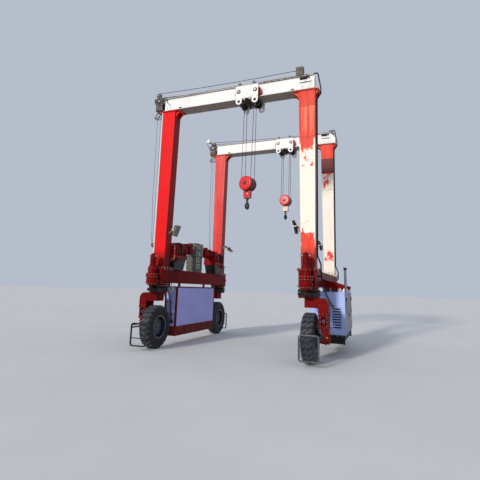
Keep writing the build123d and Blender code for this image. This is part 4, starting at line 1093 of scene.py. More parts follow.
# ------------------------------------------------------- trolleys and hooks
for name, by, tx, hx, hz, turn in TROLLEYS:
    P = Parts(name + "_trolley_fittings")
    for s in (-1, 1):
        y = by + s * 0.365
        P.use("bolt")
        for ox in (-0.315, -0.165, -0.120, -0.075, 0.075, 0.120, 0.165, 0.315):
            P.bolt((tx + ox, y, 7.358), (0, s, 0), 0.022, 0.013)
        for ox in (-0.31, -0.21, 0.21, 0.31):
            P.bolt((tx + ox, y, 7.655 if abs(ox) > 0.25 else 7.668), (0, s, 0), 0.018, 0.010, False)
        P.bolts([(tx - 0.10, y, 7.70), (tx + 0.10, y, 7.70), (tx, y, 7.46)], (0, s, 0), 0.020, 0.011)
        for q in (-1, 1):
            ax = tx + q * 0.260
            P.use("black")
            P.lathe((ax, y - s * 0.001, 7.557), (0, s, 0), [(0.049, 0), (0.064, 0), (0.064, 0.005), (0.058, 0.009), (0.049, 0.009)], 32)
            P.use("steel")
            P.lathe((ax, by + s * 0.3875, 7.557), (0, s, 0), [(0.030, 0), (0.030, 0.005), (0.020, 0.008), (0.012, 0.008), (0.010, 0.003), (0, 0.003)], 24)
            P.circle((ax, by + s * 0.380, 7.557), (0, 1, 0), 0.0415, 6, 0.010, 0.006, 0.5, (0, s, 0), False)
            P.use("black")
            P.lathe((tx + q * 0.250, y, 7.243), (0, s, 0), [(0.0345, -0.004), (0.0345, 0.004), (0.046, 0.004), (0.048, 0.001), (0.048, -0.001)], 28)
        # rope rollers on top of the plate, each between two small cheeks
        for rx in (tx - 0.239, tx + 0.207):
            yr = by + s * 0.325
            P.use("black")
            P.lathe((rx, yr - 0.030, 7.812), (0, 1, 0), [(0, 0), (0.046, 0), (0.046, 0.010), (0.030, 0.020), (0.030, 0.040), (0.046, 0.050), (0.046, 0.060), (0, 0.060)], 24)
            for q in (-1, 1):
                P.prism([(rx - 0.045, yr + q * 0.036 - 0.003, 7.738), (rx + 0.045, yr + q * 0.036 - 0.003, 7.738),
                         (rx + 0.022, yr + q * 0.036 - 0.003, 7.830), (rx - 0.022, yr + q * 0.036 - 0.003, 7.830)], (0, 0.006, 0))
            P.use("bolt")
            P.bolt((rx, yr + s * 0.039, 7.812), (0, s, 0), 0.018, 0.010, False)
        # stiffening ribs welded along the plate's inner edges
        P.use("white")
        P.box((tx, y - s * 0.010, 7.742), (0.50, 0.034, 0.012), None, 0.003)
    # pins and keeper plates of the four rope sheaves
    for q in (-1, 1):
        for off in (-0.157, 0.157):
            so = 1 if off > 0 else -1
            P.use("steel")
            P.cyl((tx + q * 0.235, by + off, 7.275), (tx + q * 0.235, by + off + so * 0.020, 7.275), 0.019, 16)
            P.box((tx + q * 0.235 - q * 0.045, by + off + so * 0.004, 7.275 + 0.02), (0.080, 0.008, 0.026), rot("Y", 20 * q), 0.002)
            P.use("bolt")
            P.bolt((tx + q * 0.235 - q * 0.072, by + off + so * 0.008, 7.285), (0, so, 0), 0.014, 0.008, False)
    P.use("bolt")
    for ox in (-0.092, 0.092):
        for oy in (-0.30, -0.24, 0.24, 0.30):
            P.bolt((tx + ox, by + oy, 7.300), (0, 0, -1), 0.020, 0.012)
    P.done(name + "_trolley", "white_paint")

    # rope falls from the trolley's sheaves down to the hook block
    t = math.radians(turn)
    a, c = Vector((-math.sin(t), math.cos(t), 0)), Vector((math.cos(t), math.sin(t), 0))
    P = Parts(name + "_rope_falls")
    P.use("rope")
    for q in (-1, 1):
        for r in (-1, 1):
            top = Vector((tx + q * 0.150, by + r * 0.112, 7.275))
            low = Vector((hx, by, hz)) + c * (q * 0.155) + a * (r * 0.107)
            P.tube([top, low], 0.0075, 12)
    o = P.done(None, "black_steel", hand_over=False)
    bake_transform(o)
    P = Parts(name + "_sheave_ropes")
    P.use("rope")
    for q in (-1, 1):
        for r in (-1, 1):
            cc = Vector((tx + q * 0.235, by + r * 0.112, 7.275))
            P.tube([cc + Vector((-q * 0.085 * math.cos(b), 0, 0.085 * math.sin(b))) for b in np.linspace(0, math.pi, 17)]
                   + [cc + Vector((q * 0.085, 0, -0.03))], 0.0072, 10)
    P.done(name + "_trolley", "black_steel")

    P = Parts(name + "_block_fittings")
    ctr = Vector((hx, by, hz))
    up = Vector((0, 0, 1))
    for s in (-1, 1):
        P.use("black")
        P.lathe(ctr + a * (s * 0.1885), a * s, [(0.026, 0), (0.046, 0), (0.048, 0.003), (0.044, 0.007), (0.028, 0.007), (0.026, 0.004)], 32)
        P.use("steel")
        P.bolt(ctr + a * (s * 0.190), a * s, 0.036, 0.016, False)
        P.use("bolt")
        for i in range(8):
            an = 2 * math.pi * (i + 0.5) / 8
            P.bolt(ctr + a * (s * 0.177) + c * (0.110 * math.cos(an)) + up * (0.110 * math.sin(an)), a * s, 0.018, 0.010, False)
        # cheek plates and tie bolts between the rope guards
        for an in (25, 155, 205, 335):
            r = 0.200
            q = ctr + c * (r * math.cos(math.radians(an))) + up * (r * math.sin(math.radians(an)))
            P.cyl(q + a * (s * 0.088), q + a * (s * 0.130), 0.010, 10)
        # yoke: cross pin ends with lock plates, bolts up the sides
        P.use("steel")
        P.lathe(ctr + c * (s * 0.105) - up * 0.385, c * s, [(0.030, 0), (0.030, 0.012), (0.024, 0.016), (0, 0.016)], 24)
        P.box(ctr + c * (s * 0.109) - up * 0.345, (0.008, 0.060, 0.022), rot("Z", turn), 0.002)
        P.use("bolt")
        for dz in (-0.225, -0.265, -0.415):
            for da in (-0.036, 0.036):
                P.bolt(ctr + c * (s * 0.106) + a * da + up * dz, c * s, 0.016, 0.009, False)
        for dz in (-0.225, -0.415):
            for dc in (-0.080, 0.080):
                P.bolt(ctr + a * (s * 0.056) + c * dc + up * dz, a * s, 0.018, 0.010)
    P.use("black")
    # rope guard bars across the open grooves
    for sgn in (-1, 1):
        P.tube([ctr + c * (sgn * 0.188) + a * -0.088 + up * -0.055, ctr + c * (sgn * 0.188) + a * 0.088 + up * -0.055], 0.009, 10)
    P.lathe(ctr - up * 0.430, (0, 0, -1), [(0.036, 0), (0.062, 0), (0.062, 0.014), (0.052, 0.020), (0.036, 0.020)], 28)
    # white disc on the yoke's side: a painted highlight spot
    P.use("knob")
    P.lathe(ctr - a * 0.057 + c * 0.030 - up * 0.300, -a, [(0, 0), (0.020, 0), (0.020, 0.004), (0, 0.006)], 20)
    P.done(name + "_hoist", "red_paint")

    # hook: collar, nose and spring latch
    t = math.radians(82)
    hxv, hn = Vector((math.cos(t), math.sin(t), 0)), Vector((-math.sin(t), math.cos(t), 0))
    top = Vector((hx, by, hz - 0.345))
    at = lambda x, z: top + hxv * x + Vector((0, 0, z))
    P = Parts(name + "_hook_fittings")
    P.use("black")
    P.lathe(top + Vector((0, 0, -0.090)), (0, 0, -1), [(0.034, -0.02), (0.040, 0.0), (0.040, 0.014), (0.032, 0.020)], 28)
    d = hxv * 0.174 + Vector((0, 0, 0.985))
    P.lathe(at(-0.0909, -0.2970) - d * 0.001, d, [(0.031, 0), (0.029, 0.012), (0.022, 0.024), (0.011, 0.031), (0, 0.033)], 24)
    P.use("steel")
    for s in (-1, 1):
        P.prism([at(-0.020, -0.150) + hn * (s * 0.026), at(0.006, -0.158) + hn * (s * 0.026), at(-0.062, -0.270) + hn * (s * 0.018),
                 at(-0.082, -0.266) + hn * (s * 0.018)], hn * 0.004)
    P.prism([at(-0.026, -0.160) - hn * 0.024, at(-0.019, -0.156) - hn * 0.024, at(-0.076, -0.262) - hn * 0.016, at(-0.083, -0.266) - hn * 0.016], hn * 0.044)
    P.cyl(at(-0.006, -0.154) - hn * 0.036, at(-0.006, -0.154) + hn * 0.036, 0.008, 12)
    P.done(name + "_load_hook", "black_steel")


# ------------------------------------------------------------------- winches
def outline(pts, y0, y1, out, P, centre):
    """Flat band of the given height standing proud round a closed outline in an upright plane."""
    n = len(pts)
    vs, fs = [], []
    for i in range(n):
        p, q = pts[i - 1], pts[(i + 1) % n]
        tx_, tz_ = q[0] - p[0], q[1] - p[1]
        L = math.hypot(tx_, tz_)
        nx_, nz_ = tz_ / L, -tx_ / L
        if (pts[i][0] - centre[0]) * nx_ + (pts[i][1] - centre[1]) * nz_ < 0:
            nx_, nz_ = -nx_, -nz_
        x, z = pts[i]
        for y, o in ((y0, -0.003), (y0, out), (y1, out), (y1, -0.003)):
            vs.append((x + nx_ * o, y, z + nz_ * o))
    area = sum(pts[i][0] * pts[(i + 1) % n][1] - pts[(i + 1) % n][0] * pts[i][1] for i in range(n))
    for i in range(n):
        j = (i + 1) % n
        for k in range(3):
            f = (4 * i + k, 4 * j + k, 4 * j + k + 1, 4 * i + k + 1)
            fs.append(f if (area < 0) == (y1 > y0) else tuple(reversed(f)))
    P.add(vs, fs)


def rounded(cx, cz, w, h, r, n=6):
    out = []
    for qx, qz, a0 in ((1, 1, 0), (-1, 1, 90), (-1, -1, 180), (1, -1, 270)):
        for k in range(n + 1):
            a = math.radians(a0 + 90 * k / n)
            out.append((cx + qx * (w / 2 - r) + r * math.cos(a), cz + qz * (h / 2 - r) + r * math.sin(a)))
    return out


WX = -2.170
for s, end in ((-1, "front"), (1, "rear")):
    P = Parts(end + "_winch_rope")
    P.use("rope")
    pts = []
    turns, y0, y1 = 14, 1.484, 1.677
    for i in range(turns * 36 + 1):
        an = 2 * math.pi * i / 36
        pts.append((WX + 0.2025 * math.cos(an), s * (y0 + (y1 - y0) * i / (turns * 36)), 2.900 + 0.2025 * math.sin(an)))
    P.tube(pts, 0.0072, 8)
    P.done("root", "greased_drum")

    P = Parts(end + "_winch_fittings")
    P.use("red_in_half_shade")
    gear = rounded(WX, 2.822, 0.500, 0.562, 0.130)
    outline(gear, s * 1.800, s * 1.830, 0.016, P, (WX, 2.822))
    for yy in (1.714, 1.916):
        outline(gear, s * (yy - 0.009), s * (yy + 0.009), 0.008, P, (WX, 2.822))
    P.use("bolt")
    inner = rounded(WX, 2.822, 0.450, 0.512, 0.106, 4)
    for i, (x, z) in enumerate(inner):
        P.bolt((x, s * 1.927, z), (0, s, 0), 0.020, 0.013)
    for x in (-0.12, 0.0, 0.12):
        for z in (2.592, 3.052):
            P.bolt((WX + x, s * 1.927, z), (0, s, 0), 0.020, 0.013)
    for z in (2.72, 2.822, 2.924):
        for x in (-0.222, 0.222):
            P.bolt((WX + x, s * 1.927, z), (0, s, 0), 0.020, 0.013)
    # bearing covers on the gear case
    for x, z, r in ((0.0, 2.900, 0.105), (-0.11, 2.70, 0.062), (0.11, 2.70, 0.050)):
        P.use("red_in_half_shade")
        P.lathe((WX + x, s * 1.926, z), (0, s, 0), [(0, 0.016), (r * 0.55, 0.016), (r * 0.62, 0.012), (r * 0.92, 0.012), (r, 0.006), (r, 0)], 32)
        P.use("bolt")
        P.circle((WX + x, s * 1.938, z), (0, 1, 0), r * 0.78, 8, 0.014, 0.009, 0.5, (0, s, 0), False)
    # sight glass and breather
    P.use("brass")
    P.lathe((WX + 0.16, s * 1.926, 2.62), (0, s, 0), [(0.022, 0), (0.022, 0.010), (0.014, 0.012), (0, 0.012)], 16)
    P.lathe((WX - 0.06, s * 1.815, 3.103), (0, 0, 1), [(0.014, 0), (0.014, 0.03), (0.026, 0.034), (0.026, 0.056), (0.014, 0.062), (0, 0.062)], 16)
    # bearing housing: edge flange, bolts, ribs
    hp = [(WX - 0.225, 2.755), (WX + 0.225, 2.755), (WX + 0.225, 3.060), (WX + 0.130, 3.165), (WX - 0.130, 3.165), (WX - 0.225, 3.060)]
    P.use("red_in_half_shade")
    for yy in (1.145, 1.445):
        outline(hp, s * (yy - 0.010), s * (yy + 0.010), 0.010, P, (WX, 2.95))
    for x in (-0.16, 0.0, 0.16):
        P.box((WX + x, s * 1.295, 3.050 if x else 3.168), (0.014, 0.270, 0.030), None, 0.003)
    for sx in (-1, 1):
        for y in (1.22, 1.295, 1.37):
            P.prism([(WX + sx * 0.224, s * y - 0.006, 2.762), (WX + sx * 0.246, s * y - 0.006, 2.762), (WX + sx * 0.228, s * y - 0.006, 3.02),
                     (WX + sx * 0.224, s * y - 0.006, 3.02)], (0, 0.012, 0))
    P.use("bolt")
    for sx in (-1, 1):
        for y in (1.17, 1.42):
            for z in (2.80, 2.90, 3.00):
                P.bolt((WX + sx * 0.225, s * y, z), (sx, 0, 0), 0.020, 0.012)
        for y in (1.19, 1.30, 1.41, 1.72, 1.80, 1.88):
            P.bolt((WX + sx * 0.222, s * y, 2.640), (0, 0, -1), 0.022, 0.014)
        for y in (1.18, 1.32, 1.46, 1.60, 1.74, 1.88):
            P.bolt((WX + sx * 0.244, s * y, 2.700), (sx, 0, 0), 0.024, 0.012)
    for y in (1.20, 1.39):
        for x in (-0.19, 0.19):
            P.bolt((WX + x, s * y, 2.297 + 0.001), (0, 0, 1), 0.022, 0.014)
    # rope clamp and drum flange bolts
    P.use("steel")
    P.circle((WX, s * 1.457, 2.900), (0, 1, 0), 0.222, 12, 0.014, 0.008, 0.0, (0, -s, 0), False)
    P.use("bolt")
    P.circle((WX, s * 1.480, 2.900), (0, 1, 0), 0.2325, 12, 0.012, 0.007, 0.0, (0, s, 0), False)
    # motor: ribs along the frame, flange bolts, fan cowl with grille, brake bolts, terminal box
    P.use("red_in_half_shade")
    for i in range(40):
        an = 2 * math.pi * i / 40
        o = Vector((math.cos(an), 0, math.sin(an)))
        q = Vector((WX, s * 0.912, 3.010)) + o * 0.133
        P.box(q, (0.016, 0.270, 0.005), rot("Y", -math.degrees(an)), 0.0012)
    P.lathe((WX, s * 0.700, 3.010), (0, s, 0), [(0.150, 0.0), (0.154, 0.004), (0.154, 0.056), (0.150, 0.060)], 40)
    for yy in (0.545, 0.610, 0.675):
        P.lathe((WX, s * yy, 3.010), (0, 1, 0), [(0.141, -0.008), (0.147, -0.005), (0.147, 0.005), (0.141, 0.008)], 40)
    P.lathe((WX, s * 0.521, 3.010), (0, -s, 0), [(0.141, -0.002), (0.132, 0.012), (0.100, 0.016), (0.062, 0.016)], 40)
    P.box((WX + 0.060, s * 0.600, 3.228), (0.136, 0.166, 0.014), None, 0.004)
    P.box((WX + 0.060, s * 0.912, 3.150), (0.110, 0.140, 0.070), None, 0.006)
    P.box((WX + 0.060, s * 0.912, 3.189), (0.122, 0.152, 0.012), None, 0.003)
    P.use("bolt")
    P.circle((WX, s * 1.060, 3.010), (0, 1, 0), 0.140, 10, 0.018, 0.012, 0.5, (0, -s, 0), False)
    P.circle((WX, s * 0.509, 3.010), (0, 1, 0), 0.112, 8, 0.014, 0.008, 0.5, (0, -s, 0), False)
    for x in (-0.055, 0.055):
        for y in (-0.07, 0.07):
            P.bolt((WX + 0.060 + x, s * 0.600 + y, 3.235), (0, 0, 1), 0.012, 0.007, False)
            P.bolt((WX + 0.060 + x * 0.9, s * 0.912 + y * 0.92, 3.195), (0, 0, 1), 0.011, 0.007, False)
    P.use("black")
    P.lathe((WX, s * 0.481, 3.010), (0, -s, 0), [(0.060, 0), (0.050, 0.010), (0.022, 0.012), (0, 0.012)], 24)
    P.lathe((WX + 0.125, s * 0.912, 3.150), (1, 0, 0), [(0.020, 0), (0.020, 0.016), (0.013, 0.020), (0.013, 0.034), (0, 0.034)], 16)
    P.done("root", "red_paint")

# tank stack: light rings and dark openings on the inner faces, straps and seams
P = Parts("tank_fittings")
for i in range(4):
    zc = 2.297 + 0.095 + 0.225 * i + 0.112
    dx = -0.030 if i < 2 else 0.0
    x1 = -2.200 + dx + 0.165
    P.use("black")
    P.box((x1 - 0.165, -0.035, zc + 0.1125), (0.338, 0.558, 0.016), None, 0.002)
    P.use("tank_light")
    P.lathe((x1 + 0.0245, -0.020, zc), (1, 0, 0), [(0.050, 0.0), (0.050, 0.004), (0.056, 0.007), (0.068, 0.007), (0.074, 0.002), (0.074, -0.020), (0.092, -0.020), (0.092, -0.026)], 40)
    P.use("black")
    P.lathe((x1 + 0.0255, -0.020, zc), (1, 0, 0), [(0.051, 0.0), (0.051, 0.0012), (0, 0.0012)], 32)
    P.use("bolt")
    P.circle((x1, -0.020, zc), (1, 0, 0), 0.083, 8, 0.011, 0.006, 0.5, (1, 0, 0), False)
    P.use("tank")
    for y in (-0.27, 0.20):
        P.box((x1 - 0.165, y, zc), (0.342, 0.030, 0.231), None, 0.006)
    P.box((x1 - 0.165, -0.3115, zc + 0.035), (0.30, 0.008, 0.012), None, 0.002)
    P.box((x1 - 0.165, -0.3115, zc - 0.035), (0.30, 0.008, 0.012), None, 0.002)
    P.use("tank_light")
    for y in (-0.16, 0.12):
        P.tube([(x1 - 0.002, y - 0.04, zc + 0.03), (x1 + 0.022, y - 0.036, zc + 0.03), (x1 + 0.022, y + 0.036, zc + 0.03), (x1 - 0.002, y + 0.04, zc + 0.03)], 0.005, 10)
P.use("tank_light")
for y in (-0.25, 0.18):
    P.box((-2.036 + 0.008, y, 2.84), (0.010, 0.026, 0.90), None, 0.003)
P.use("bolt")
for y in (-0.25, 0.18):
    for z in (2.42, 2.84, 3.26):
        P.bolt((-2.023, y, z), (1, 0, 0), 0.018, 0.010)
P.use("tank")
P.lathe((-2.20, 0.10, 3.287), (0, 0, 1), [(0, 0.052), (0.040, 0.052), (0.046, 0.046), (0.046, 0.030), (0.036, 0.026), (0.036, 0.0)], 28)
P.done("root", "grey_tank")

# ------------------------------------------------------------ beam-end gear
# beam's middle plane, lift and reach of the head frame, middle of its top pulley
ENDS = ((-2.125, 0.095, 0.045, -2.788, 8.100), (2.125, 0.015, 0.0, -2.650, 7.985))
P = Parts("beam_end_fittings")
for by, up, out, tx_, tz_ in ENDS:
    # grooved rope pulleys
    low = max(0.0, up - 0.019)
    P.use("black")
    for q in (-1, 1):
        P.lathe((-2.650 - out, by + q * 0.022, 7.712 + up), (0, q, 0), [(0.096, -0.002), (0.098, 0.004), (0.114, 0.012), (0.118, 0.017), (0.116, 0.023), (0.100, 0.023), (0.086, 0.024), (0.050, 0.026), (0.050, 0.040), (0, 0.040)], 48)
        P.lathe((tx_, by + q * 0.012, tz_), (0, q, 0), [(0.074, -0.002), (0.076, 0.003), (0.088, 0.012), (0.091, 0.016), (0.088, 0.019), (0.060, 0.019), (0.040, 0.019)], 40)
    # cheek bolts and pin lock plates
    for s in (-1, 1):
        P.use("bolt")
        for x, z in ((-2.470, 7.800), (-2.600, 7.810), (-2.740 - out, 7.805), (-2.800 - out, 7.740), (-2.775 - out, 7.660), (-2.700 - out, 7.612), (-2.590, 7.612), (-2.480, 7.672)):
            P.bolt((x, by + s * 0.125, z + up), (0, s, 0), 0.018, 0.011)
        P.use("steel")
        P.lathe((-2.650 - out, by + s * 0.144, 7.712 + up), (0, s, 0), [(0.024, 0), (0.024, 0.010), (0.018, 0.014), (0, 0.014)], 20)
        P.box((-2.650 - out, by + s * 0.129, 7.760 + up), (0.090, 0.008, 0.028), None, 0.002)
        P.lathe((tx_, by + s * 0.064, tz_), (0, s, 0), [(0.016, 0), (0.016, 0.008), (0, 0.010)], 16)
        P.use("bolt")
        for q in (-0.032, 0.032):
            P.bolt((-2.650 - out + q, by + s * 0.133, 7.760 + up), (0, s, 0), 0.012, 0.007, False)
        # switch box: raised lid, screws
        P.use("brown")
        zb = 7.523 + up * 0.75
        P.box((-2.660 - out / 2, by + s * 0.122, zb), (0.236, 0.010, 0.126), None, 0.003)
        P.use("bolt")
        for x in (-0.105, 0.105):
            for z in (-0.050, 0.050):
                P.bolt((-2.660 - out / 2 + x, by + s * 0.127, zb + z), (0, s, 0), 0.010, 0.006, False)
        # triangle edges
        P.use("black")
        tri = [(-2.655 - out, 7.440 + low), (-2.506 - out, 7.182 + low), (-2.806 - out, 7.206 + low)]
        P.tube([(x, by + s * 0.070, z) for x, z in tri], 0.007, 8, True)
    P.use("brown")
    P.box((-2.792 - out / 2, by, zb), (0.010, 0.200, 0.110), None, 0.003)
# rope anchor box on the front beam: lid, clamp bolts, wedge sockets
P.use("brown")
P.box((2.027, -2.125, 8.198), (0.222, 0.212, 0.010), None, 0.003)
for s in (-1, 1):
    P.box((2.027, -2.125 + s * 0.103, 8.060), (0.170, 0.008, 0.220), None, 0.002)
P.use("bolt")
for s in (-1, 1):
    for x in (-0.07, 0.07):
        for z in (-0.095, 0.095):
            P.bolt((2.027 + x, -2.125 + s * 0.107, 8.060 + z), (0, s, 0), 0.014, 0.008, False)
    for x in (1.960, 2.095):
        P.bolt((x + 0.045, -2.125 + s * 0.05, 7.837), (0, 0, 1), 0.018, 0.010)
P.use("steel")
for z, oy in ((8.135, -0.03), (7.975, 0.03)):
    P.lathe((1.922, -2.125 + oy, z), (-1, 0, 0), [(0.024, 0), (0.024, 0.02), (0.016, 0.06), (0.010, 0.075)], 16)
P.done("root", "black_steel")

# ----------------------------------------------------------- hoisting ropes
# Taut ropes: drum, up outside the leg, over the beam-end pulleys, along the beam to the anchor
def sag(a, b, drop, n=24):
    return [Vector(a).lerp(Vector(b), i / n) - Vector((0, 0, 4 * drop * (i / n) * (1 - i / n))) for i in range(n + 1)]


def arc(c, r, a0, a1, n=14):
    """Arc in an upright plane along X, degrees from +X towards +Z."""
    return [Vector((c[0] + r * math.cos(math.radians(a0 + (a1 - a0) * i / n)), c[1], c[2] + r * math.sin(math.radians(a0 + (a1 - a0) * i / n)))) for i in range(n + 1)]


P = Parts("hoist_ropes")
for s, (by, up, out, tx_, tz_) in zip((-1, 1), ENDS):
    # outer rope: off the head pulley, down outside the leg, under a small pulley by the foot, in to the drum
    P.use("hoist_line")
    head = (-2.650 - out, by, 7.712 + up)
    up_a = arc(head, 0.108, 180, 90, 8)
    ya, yb = by - 0.022, by + 0.022
    P.tube([Vector((-2.375, s * 1.60, 2.93))] + arc((-2.590, ya, 3.02), 0.062, 265, 182, 8)
           + [Vector((-2.715 - out * 0.4, ya, 4.50)), up_a[0]] + up_a[1:] + [Vector((-2.46, by, 7.822 + up)), Vector((-2.425, by, 7.822))], 0.0065, 10)
    # second rope, from the box under the head pulley
    P.tube([Vector((-2.370, s * 1.52, 2.97))] + arc((-2.590, yb, 3.02), 0.062, 265, 182, 8)
           + [Vector((-2.668 - out * 0.1, yb, 7.05)), Vector((-2.674 - out * 0.1, yb, 7.48 + up * 0.5))], 0.0050, 10)
    # two small pulleys by the foot of the leg, in a two-plate bracket
    P.use("black")
    for yc in (ya, yb):
        P.lathe((-2.590, yc - 0.018, 3.02), (0, 1, 0), [(0, 0), (0.050, 0), (0.062, 0.002), (0.056, 0.012), (0.054, 0.018), (0.056, 0.024), (0.062, 0.034), (0.050, 0.036), (0, 0.036)], 32)
    P.use("red_in_shade")
    for q in (-1, 1):
        P.prism([(-2.438, by + q * 0.052 - 0.004, 3.080), (-2.438, by + q * 0.052 - 0.004, 2.940), (-2.575, by + q * 0.052 - 0.004, 2.985), (-2.622, by + q * 0.052 - 0.004, 3.005),
                 (-2.622, by + q * 0.052 - 0.004, 3.040), (-2.575, by + q * 0.052 - 0.004, 3.055)], (0, 0.008, 0))
    P.box((-2.449, by, 3.010), (0.020, 0.190, 0.190), None, 0.003)
    P.use("bolt")
    P.bolt((-2.590, by - 0.056, 3.02), (0, -1, 0), 0.020, 0.010)
    for q in (-1, 1):
        for w in (-0.07, 0.07):
            P.bolt((-2.459, by + q * 0.078, 3.010 + w), (-1, 0, 0), 0.014, 0.008, False)
P.use("rope_dark")
for s, (by, up, out, tx_, tz_) in zip((-1, 1), ENDS):
    if s < 0:
        P.tube(arc((tx_, by, tz_), 0.090, 200, 92, 10) + sag((tx_ + 0.03, by, tz_ + 0.090), (1.86, by - 0.03, 8.135), 0.035)[1:], 0.0085, 10)
        P.tube(sag((-2.590, by, 8.020), (1.86, by + 0.03, 7.975), 0.045), 0.0085, 10)
    else:
        P.tube(arc((tx_, by, tz_), 0.090, 200, 92, 10) + sag((tx_ + 0.03, by, tz_ + 0.090), (2.35, by, 7.955), 0.06)[1:], 0.0085, 10)
        P.tube(sag((-2.566, by, 7.965), (2.35, by, 7.885), 0.03), 0.0085, 10)
P.done("root", "black_steel")

P = Parts("rear_rope_anchor")
P.use("brown")
P.prism([(2.32, 2.055, 7.836), (2.52, 2.055, 7.836), (2.42, 2.055, 8.0), (2.34, 2.055, 8.0)], (0, 0.012, 0))
P.prism([(2.32, 2.183, 7.836), (2.52, 2.183, 7.836), (2.42, 2.183, 8.0), (2.34, 2.183, 8.0)], (0, 0.012, 0))
P.use("steel")
P.cyl((2.375, 2.045, 7.955), (2.375, 2.205, 7.955), 0.016, 16)
P.cyl((2.375, 2.045, 7.885), (2.375, 2.205, 7.885), 0.016, 16)
P.done("root", "black_steel")

# --------------------------------------------------------------------- lamps
P = Parts("lamps")


def lamp(centre, tilt, side, arm_z, facing, frame_key, visor_key, glass_key="glass"):
    """Box lamp: cast tray with cooling ribs, bezel, glass, visor, U bracket, knobs and arm to the leg."""
    C = Vector(centre)
    R = rot("Y", tilt)
    f = facing
    to = lambda u, v, w: C + R @ Vector((f * u, v, w))
    # tray, drawn in towards its back
    P.use("black_paint")
    vs = []
    for u, v, w in ((0.030, 0.138, 0.168), (-0.012, 0.134, 0.164), (-0.040, 0.100, 0.125)):
        for a, b in ((-1, -1), (1, -1), (1, 1), (-1, 1)):
            vs.append(to(u, a * v, b * w))
    fs = [(0, 1, 2, 3), (8, 9, 10, 11)] + [(4 * k + i, 4 * k + (i + 1) % 4, 4 * k + 4 + (i + 1) % 4, 4 * k + 4 + i) for k in (0, 1) for i in range(4)]
    P.convex(vs, fs)
    for i in range(9):
        P.box(to(-0.038, 0, -0.104 + 0.026 * i), (0.022, 0.190, 0.005), R, 0.001)
    # bezel and glass
    P.use(frame_key)
    for v in (-0.132, 0.132):
        P.box(to(0.036, v, 0), (0.016, 0.018, 0.340), R, 0.003)
    for w in (-0.162, 0.162):
        P.box(to(0.036, 0, w), (0.016, 0.280, 0.018), R, 0.003)
    P.use(glass_key)
    P.box(to(0.033, 0, 0), (0.006, 0.250, 0.310), R, 0.001)
    P.use("bolt")
    for v in (-0.132, 0.132):
        for w in (-0.150, 0, 0.150):
            P.bolt(to(0.044, v, w), R @ Vector((f, 0, 0)), 0.010, 0.005, False)
    # visor over the upper edge
    P.use(visor_key)
    P.prism([to(0.040, -0.142, 0.172), to(0.040, 0.142, 0.172), to(-0.035, 0.142, 0.177), to(-0.035, -0.142, 0.177)], R @ Vector((0, 0, 0.004)))
    # bracket
    P.use("lamp_arm")
    for v in (-0.148, 0.148):
        P.box(to(-0.020, v, 0), (0.110, 0.006, 0.034), R, 0.002)
        P.use("knob")
        P.lathe(to(0.0, v, 0), (0, 1 if v > 0 else -1, 0), [(0, 0.026), (0.014, 0.026), (0.022, 0.018), (0.022, 0.006), (0.012, 0.0)], 16)
        P.use("lamp_arm")
    P.box(to(-0.074, 0, 0), (0.006, 0.300, 0.034), R, 0.002)
    face = 2.250 - 0.187 - 0.045 * (arm_z - 2.297) / 5.097
    x1 = math.copysign(face - 0.001, centre[0])
    a = to(-0.076, 0, 0)
    b = Vector((x1, centre[1], arm_z))
    P.box((x1 - math.copysign(0.006, centre[0]), b.y, b.z), (0.012, 0.110, 0.100), None, 0.003)
    P.tube([a, a.lerp(b, 0.3) , Vector((x1 - math.copysign(0.05, x1), b.y, b.z)), b], 0.016, 12)
    P.use("bolt")
    for v in (-0.04, 0.04):
        for w in (-0.034, 0.034):
            P.bolt((x1 - math.copysign(0.012, centre[0]), b.y + v, b.z + w), (-math.copysign(1, centre[0]), 0, 0), 0.014, 0.008, False)


lamp((-1.810, -2.150, 3.455), 20, -1, 3.400, 1, "lamp_arm", "knob")
lamp((1.880, -2.150, 3.450), -14, 1, 3.330, -1, "knob", "knob")
lamp((-1.780, 2.050, 3.350), 125, -1, 3.390, 1, "lamp_arm", "lamp_arm")
lamp((1.920, 2.050, 3.430), -14, 1, 3.310, -1, "knob", "knob")
# round headlight under the left side beam
P.use("black_paint")
P.lathe((-2.020, -1.840, 1.704), (0, 1, 0), [(0.074, 0.004), (0.084, 0.0), (0.086, 0.010), (0.082, 0.024), (0.074, 0.050), (0.050, 0.080), (0.022, 0.094), (0, 0.096)], 40)
P.use("knob")
P.lathe((-2.020, -1.840, 1.704), (0, -1, 0), [(0.084, -0.004), (0.086, 0.004), (0.082, 0.010), (0.070, 0.009), (0.068, 0.002)], 40)
P.use("lens")
P.lathe((-2.020, -1.840, 1.704), (0, -1, 0), [(0.070, 0.001), (0.062, 0.009), (0.040, 0.016), (0, 0.020)], 40)
P.use("lamp_arm")
P.tube([(-2.020, -1.795, 1.780), (-2.040, -1.795, 1.815), (-2.060, -1.795, 1.850), (-2.060, -1.795, 1.885)], 0.012, 12)
P.box((-2.060, -1.795, 1.884), (0.070, 0.080, 0.008), None, 0.002)
